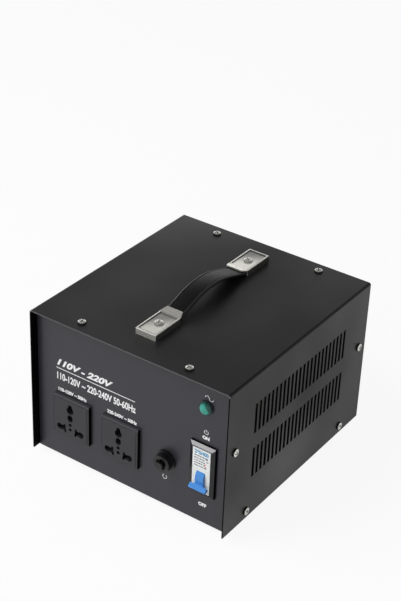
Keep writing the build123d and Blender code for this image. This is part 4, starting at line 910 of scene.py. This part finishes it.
def gather(pieces):
    # Joins flat pieces given as ((points, faces), x, y) into one set of points and faces.
    points, faces, count = [], [], 0
    for (flat, flatFaces), x, y in pieces:
        points.append(flat + [x, y, 0])
        faces += [[i + count for i in face] for face in flatFaces]
        count += len(flat)
    return np.concatenate(points), faces


def onFront(flat, proud):
    # Stands a flat drawing (right, up) on the front panel, in metres.
    place = np.zeros_like(flat)
    place[:, 0] = flat[:, 0] * mm
    place[:, 1] = panelY - (proud + flat[:, 2]) * mm
    place[:, 2] = footHeight + flat[:, 1] * mm
    return place


# Print on the front panel
panelPrint = {
    "proud": 0.04,
    "rule": (-82.6, 5.1, 94.5, 0.75),      # left and right end, height above the edge, thickness
    "lines": (                             # left and right end, height, letter height, bold, slant
        ("110V - 220V", -82.0, -19.0, 101.0, 7.0, 0.045, 0.35),
        ("110-120V ~ 220-240V 50-60Hz", -82.0, 5.8, 86.4, 7.6, 0.03, 0.0),
        ("110-120V ~ 50Hz", -80.7, -48.5, 72.4, 3.8, 0.06, 0.0),
        ("220-240V ~ 50Hz", -25.4, 7.2, 72.4, 3.8, 0.06, 0.0),
    ),
    "words": (("ON", 79.5, 90.4, 3.7), ("OFF", 78.8, 19.1, 3.8)),
    "wordBold": 0.07,
    "stroke": 0.5,
    "powerMark": (79.6, 96.3, 2.0),        # middle and radius
    "powerArc": (125, 415),                # degrees where the open circle starts and ends
    "powerBar": (1.1, 0.75),               # length of the bar and height of its middle, in radii
    "lampMark": (81.0, 131.1, 2.0),
    "resetMark": (38.3, 30.2, 2.1),
    "resetArc": (110, 400),
    "resetStroke": 0.55,
    "resetArrow": (1.7, 1.5, 1.68, 0.9),   # width, height and place from the mark's middle
}


def makePanelPrint():
    p = panelPrint
    stroke = p["stroke"]
    x0, x1, y, thick = p["rule"]
    marks = [(barMesh(x1 - x0, thick), (x0 + x1) / 2, y)]
    for text, x0, x1, y, height, bold, slant in p["lines"]:
        marks.append((textMesh(text, height, x1 - x0, bold, slant), (x0 + x1) / 2, y))
    for text, x, y, height in p["words"]:
        marks.append((textMesh(text, height, None, p["wordBold"]), x, y))
    x, y, radius = p["powerMark"]          # open circle with a short upright bar
    length, up = p["powerBar"]
    marks += [(arcMesh(radius, stroke, *p["powerArc"]), x, y),
              (barMesh(stroke, radius * length), x, y + radius * up)]
    x, y, radius = p["lampMark"]           # one wave, of two half circles
    marks += [(arcMesh(radius, stroke, 0, 180), x - radius, y),
              (arcMesh(radius, stroke, 180, 360), x + radius, y)]
    x, y, radius = p["resetMark"]          # turning arrow
    width, height, right, up = p["resetArrow"]
    marks += [(arcMesh(radius, p["resetStroke"], *p["resetArc"]), x, y),
              (arrowMesh(width, height), x + right, y + up)]
    points, faces = gather(marks)
    return meshFrom("panelPrint", onFront(points, p["proud"]), faces, smooth=False)


rearPrint = {"height": 3.2, "bold": 0.05, "gap": 4.2, "apart": 7.0, "texts": ("110V", "220V")}


def makeRearPrint():
    # The two voltages over the slide selector, read from behind.
    p = rearPrint
    low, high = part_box("selector_body")
    middle, top = (low.x + high.x) / 2 / mm, (high.z - footHeight) / mm
    marks = []
    for text, side in zip(p["texts"], (-1, 1)):
        word = textMesh(text, p["height"], None, p["bold"])
        marks.append((word, side * p["apart"] - middle, top + p["gap"]))
    points, faces = gather(marks)
    place = onFront(points, panelPrint["proud"])
    place[:, :2] *= -1                     # half a turn about the upright axis
    return meshFrom("rearPrint", place, faces, smooth=False)


whitePrint = plain("whitePrint", (0.86, 0.86, 0.86), 0.5, strength=0.1)
rearMarks = newPiece("rearPrint", makeRearPrint(), whitePrint)
panelMarks = newPiece("panelPrint", makePanelPrint(), whitePrint)
print("stage: panel print")


# Label on the breaker's nose, in millimetres
labelPlan = {
    "noseFace": 4.0,             # the nose stands this far in front of the panel
    "centre": (78.5, 69.6),
    "size": (17.0, 20.2),
    "thick": 0.05,
    "ratingText": "230/400",
    "rating": (14.4, 4.2, 6.9),  # width, height and place above the label's middle
    "ratingBold": 0.05,
    "rows": (3.0, 0.4, -2.2, -4.8, -7.4),
    "dashHeight": 1.15,
    "dashLength": (0.8, 2.4),
    "dashGap": (0.4, 0.9),
    "rowStart": -7.2,
    "rowEnd": 3.6,
    "squares": ((5.6, 2.6, 2.0, 1.8), (6.0, -0.4, 2.2, 0.8)),   # place from the middle, and size
    "ticks": ((4.2, -3.6, 1.5, 1.0), (4.4, -6.0, 1.6, 1.0)),
    "seed": 4,
}


def makeLabel():
    # Paper ground, a plain rating, rows of fine marks, and two warm ticks beside the rows.
    p = labelPlan
    cx, cy = p["centre"]
    ground = gather([(barMesh(*p["size"]), cx, cy)])
    width, height, up = p["rating"]
    rating = gather([(textMesh(p["ratingText"], height, width, p["ratingBold"]), cx, cy + up)])
    dice = np.random.default_rng(p["seed"])
    dashes = [(barMesh(w, h), cx + x, cy + y) for x, y, w, h in p["squares"]]
    for row in p["rows"]:
        x = p["rowStart"]
        while x < p["rowEnd"]:
            length = dice.uniform(*p["dashLength"])
            dashes.append((barMesh(length, p["dashHeight"]), cx + x + length / 2, cy + row))
            x += length + dice.uniform(*p["dashGap"])
    ticks = [(barMesh(w, h), cx + x, cy + y) for x, y, w, h in p["ticks"]]
    return ground, rating, gather(dashes), gather(ticks)


labelInks = (
    ("breakerLabel", plain("labelPaper", (0.84, 0.86, 0.86), 0.42)),
    ("breakerLabelRating", plain("labelBlue", (0.10, 0.32, 0.52), 0.45)),
    ("breakerLabelRows", plain("labelGrey", (0.10, 0.11, 0.13), 0.5)),
    ("breakerLabelTicks", plain("labelOrange", (0.75, 0.20, 0.08), 0.5)),
)
for level, ((name, mat), (points, faces)) in enumerate(zip(labelInks, makeLabel())):
    layer = labelPlan["noseFace"] + labelPlan["thick"] * (1 + min(level, 1))   # inks lie on the paper
    piece = newPiece(name, meshFrom(name, onFront(points, layer), faces, smooth=False), mat)
print("stage: breaker label")


# Stage
stagePlan = {
    "floorSize": 60.0,
    "floorColour": (0.90, 0.90, 0.90),
    "floorShade": 0.09,          # how much of the shadow shows on the white floor
    "mirrorShade": 0.50,         # and how much of it in glossy surfaces
    "skyLow": (0.40, 1.0),       # sine of the height above the horizon, and the strength there
    "skyHigh": (0.66, 0.08),
    "skyFill": 0.26,             # strength for the soft light on the object
}


def paleFloor():
    # White to the eye, with a share of its own shading left so that the shadow shows.
    p = stagePlan
    mat = newMaterial("paleFloor", p["floorColour"], 0.9)
    path = addNode(mat, "ShaderNodeLightPath").outputs
    straight = either(mat, path["Is Camera Ray"], path["Is Transmission Ray"])
    white = calc(mat, "MULTIPLY", straight, 1 - p["floorShade"])
    white = calc(mat, "MULTIPLY_ADD", path["Is Glossy Ray"], 1 - p["mirrorShade"], white)
    mixed = addNode(mat, "ShaderNodeMixShader")
    plug(mat, white, mixed, "Fac")
    plug(mat, shaderOf(mat).outputs["BSDF"], mixed, 1)
    plug(mat, addNode(mat, "ShaderNodeEmission").outputs["Emission"], mixed, 2)
    plug(mat, mixed.outputs["Shader"], mat.node_tree.nodes["Material Output"], "Surface")
    return mat


def makeFloor():
    side = stagePlan["floorSize"] / 2
    corners = np.array([(-side, -side, 0), (side, -side, 0), (side, side, 0), (-side, side, 0)])
    mesh = meshFrom("floor", corners, [[0, 1, 2, 3]], smooth=False)
    mesh.materials.append(paleFloor())
    floor = bpy.data.objects.new("floor", mesh)
    bpy.context.scene.collection.objects.link(floor)


def makeSky():
    # Pale above the horizon and dark overhead to the camera and in metal and glass, and one soft
    # level for the light itself.
    p = stagePlan
    world = bpy.data.worlds.new("studio")
    bpy.context.scene.world = world
    world.use_nodes = True
    height = splitPlace(world, addNode(world, "ShaderNodeTexCoord").outputs["Generated"])["Z"]
    (start, low), (end, high) = p["skyLow"], p["skyHigh"]
    path = addNode(world, "ShaderNodeLightPath").outputs
    seen = either(world, path["Is Camera Ray"], path["Is Glossy Ray"])
    seen = either(world, seen, path["Is Transmission Ray"])
    background = world.node_tree.nodes["Background"]
    plug(world, (1, 1, 1, 1), background, "Color")
    sky = instead(world, p["skyFill"], seen, remap(world, height, start, end, low, high))
    plug(world, sky, background, "Strength")


# The key lamp isn't mirrored, because the folds of the bright caps would glare with it.
lamps = {
    "keySoft": {"place": (-1.15, -1.20, 1.85), "aim": (0, 0, 0.1), "size": (1.5, 1.5),
                "power": 44.0, "mirrored": False},
    "frontFill": {"place": (0.1, -2.6, 1.0), "aim": (0, 0, 0.1), "size": (2.0, 1.2), "power": 10.0},
    "sideSoft": {"place": (2.2, 1.4, 0.9), "aim": (0, 0, 0.08), "size": (1.0, 1.0), "power": 3.0},
}


def addLamp(name, place, aim, size, power, mirrored=True):
    data = bpy.data.lights.new(name, "AREA")
    data.shape = "RECTANGLE"
    data.size, data.size_y = size
    data.energy = power
    lamp = bpy.data.objects.new(name, data)
    bpy.context.scene.collection.objects.link(lamp)
    lamp.location = place
    lamp.rotation_euler = (Vector(aim) - Vector(place)).to_track_quat("-Z", "Y").to_euler()
    lamp.visible_glossy = mirrored


makeFloor()
makeSky()
for name, lampPlan in lamps.items():
    addLamp(name, **lampPlan)

cameraPlan = {
    "aim": (-3.91 * mm, 0.0, 148.41 * mm),
    "azimuth": 33.984,
    "elevation": 31.253,
    "roll": 2.429,
    "distance": 1.3091,
    "lens": 87.59,
    "clip": (0.05, 100.0),
}


def makeCamera():
    # Looks back along the direction given by azimuth and elevation, then rolls about it.
    p = cameraPlan
    a, e, roll = (math.radians(p[k]) for k in ("azimuth", "elevation", "roll"))
    back = Vector((math.sin(a) * math.cos(e), -math.cos(a) * math.cos(e), math.sin(e)))
    right = Vector((math.cos(a), math.sin(a), 0))
    up = back.cross(right)
    turnedRight = math.cos(roll) * right + math.sin(roll) * up
    turnedUp = -math.sin(roll) * right + math.cos(roll) * up
    data = bpy.data.cameras.new("camera")
    data.lens = p["lens"]
    data.clip_start, data.clip_end = p["clip"]
    camera = bpy.data.objects.new("camera", data)
    bpy.context.scene.collection.objects.link(camera)
    camera.matrix_world = Matrix.Translation(Vector(p["aim"]) + back * p["distance"]) @ Matrix(
        (turnedRight, turnedUp, back)).transposed().to_4x4()
    bpy.context.scene.camera = camera


makeCamera()
bpy.context.scene.view_settings.view_transform = "Standard"
print("stage: stage, lamps and camera")
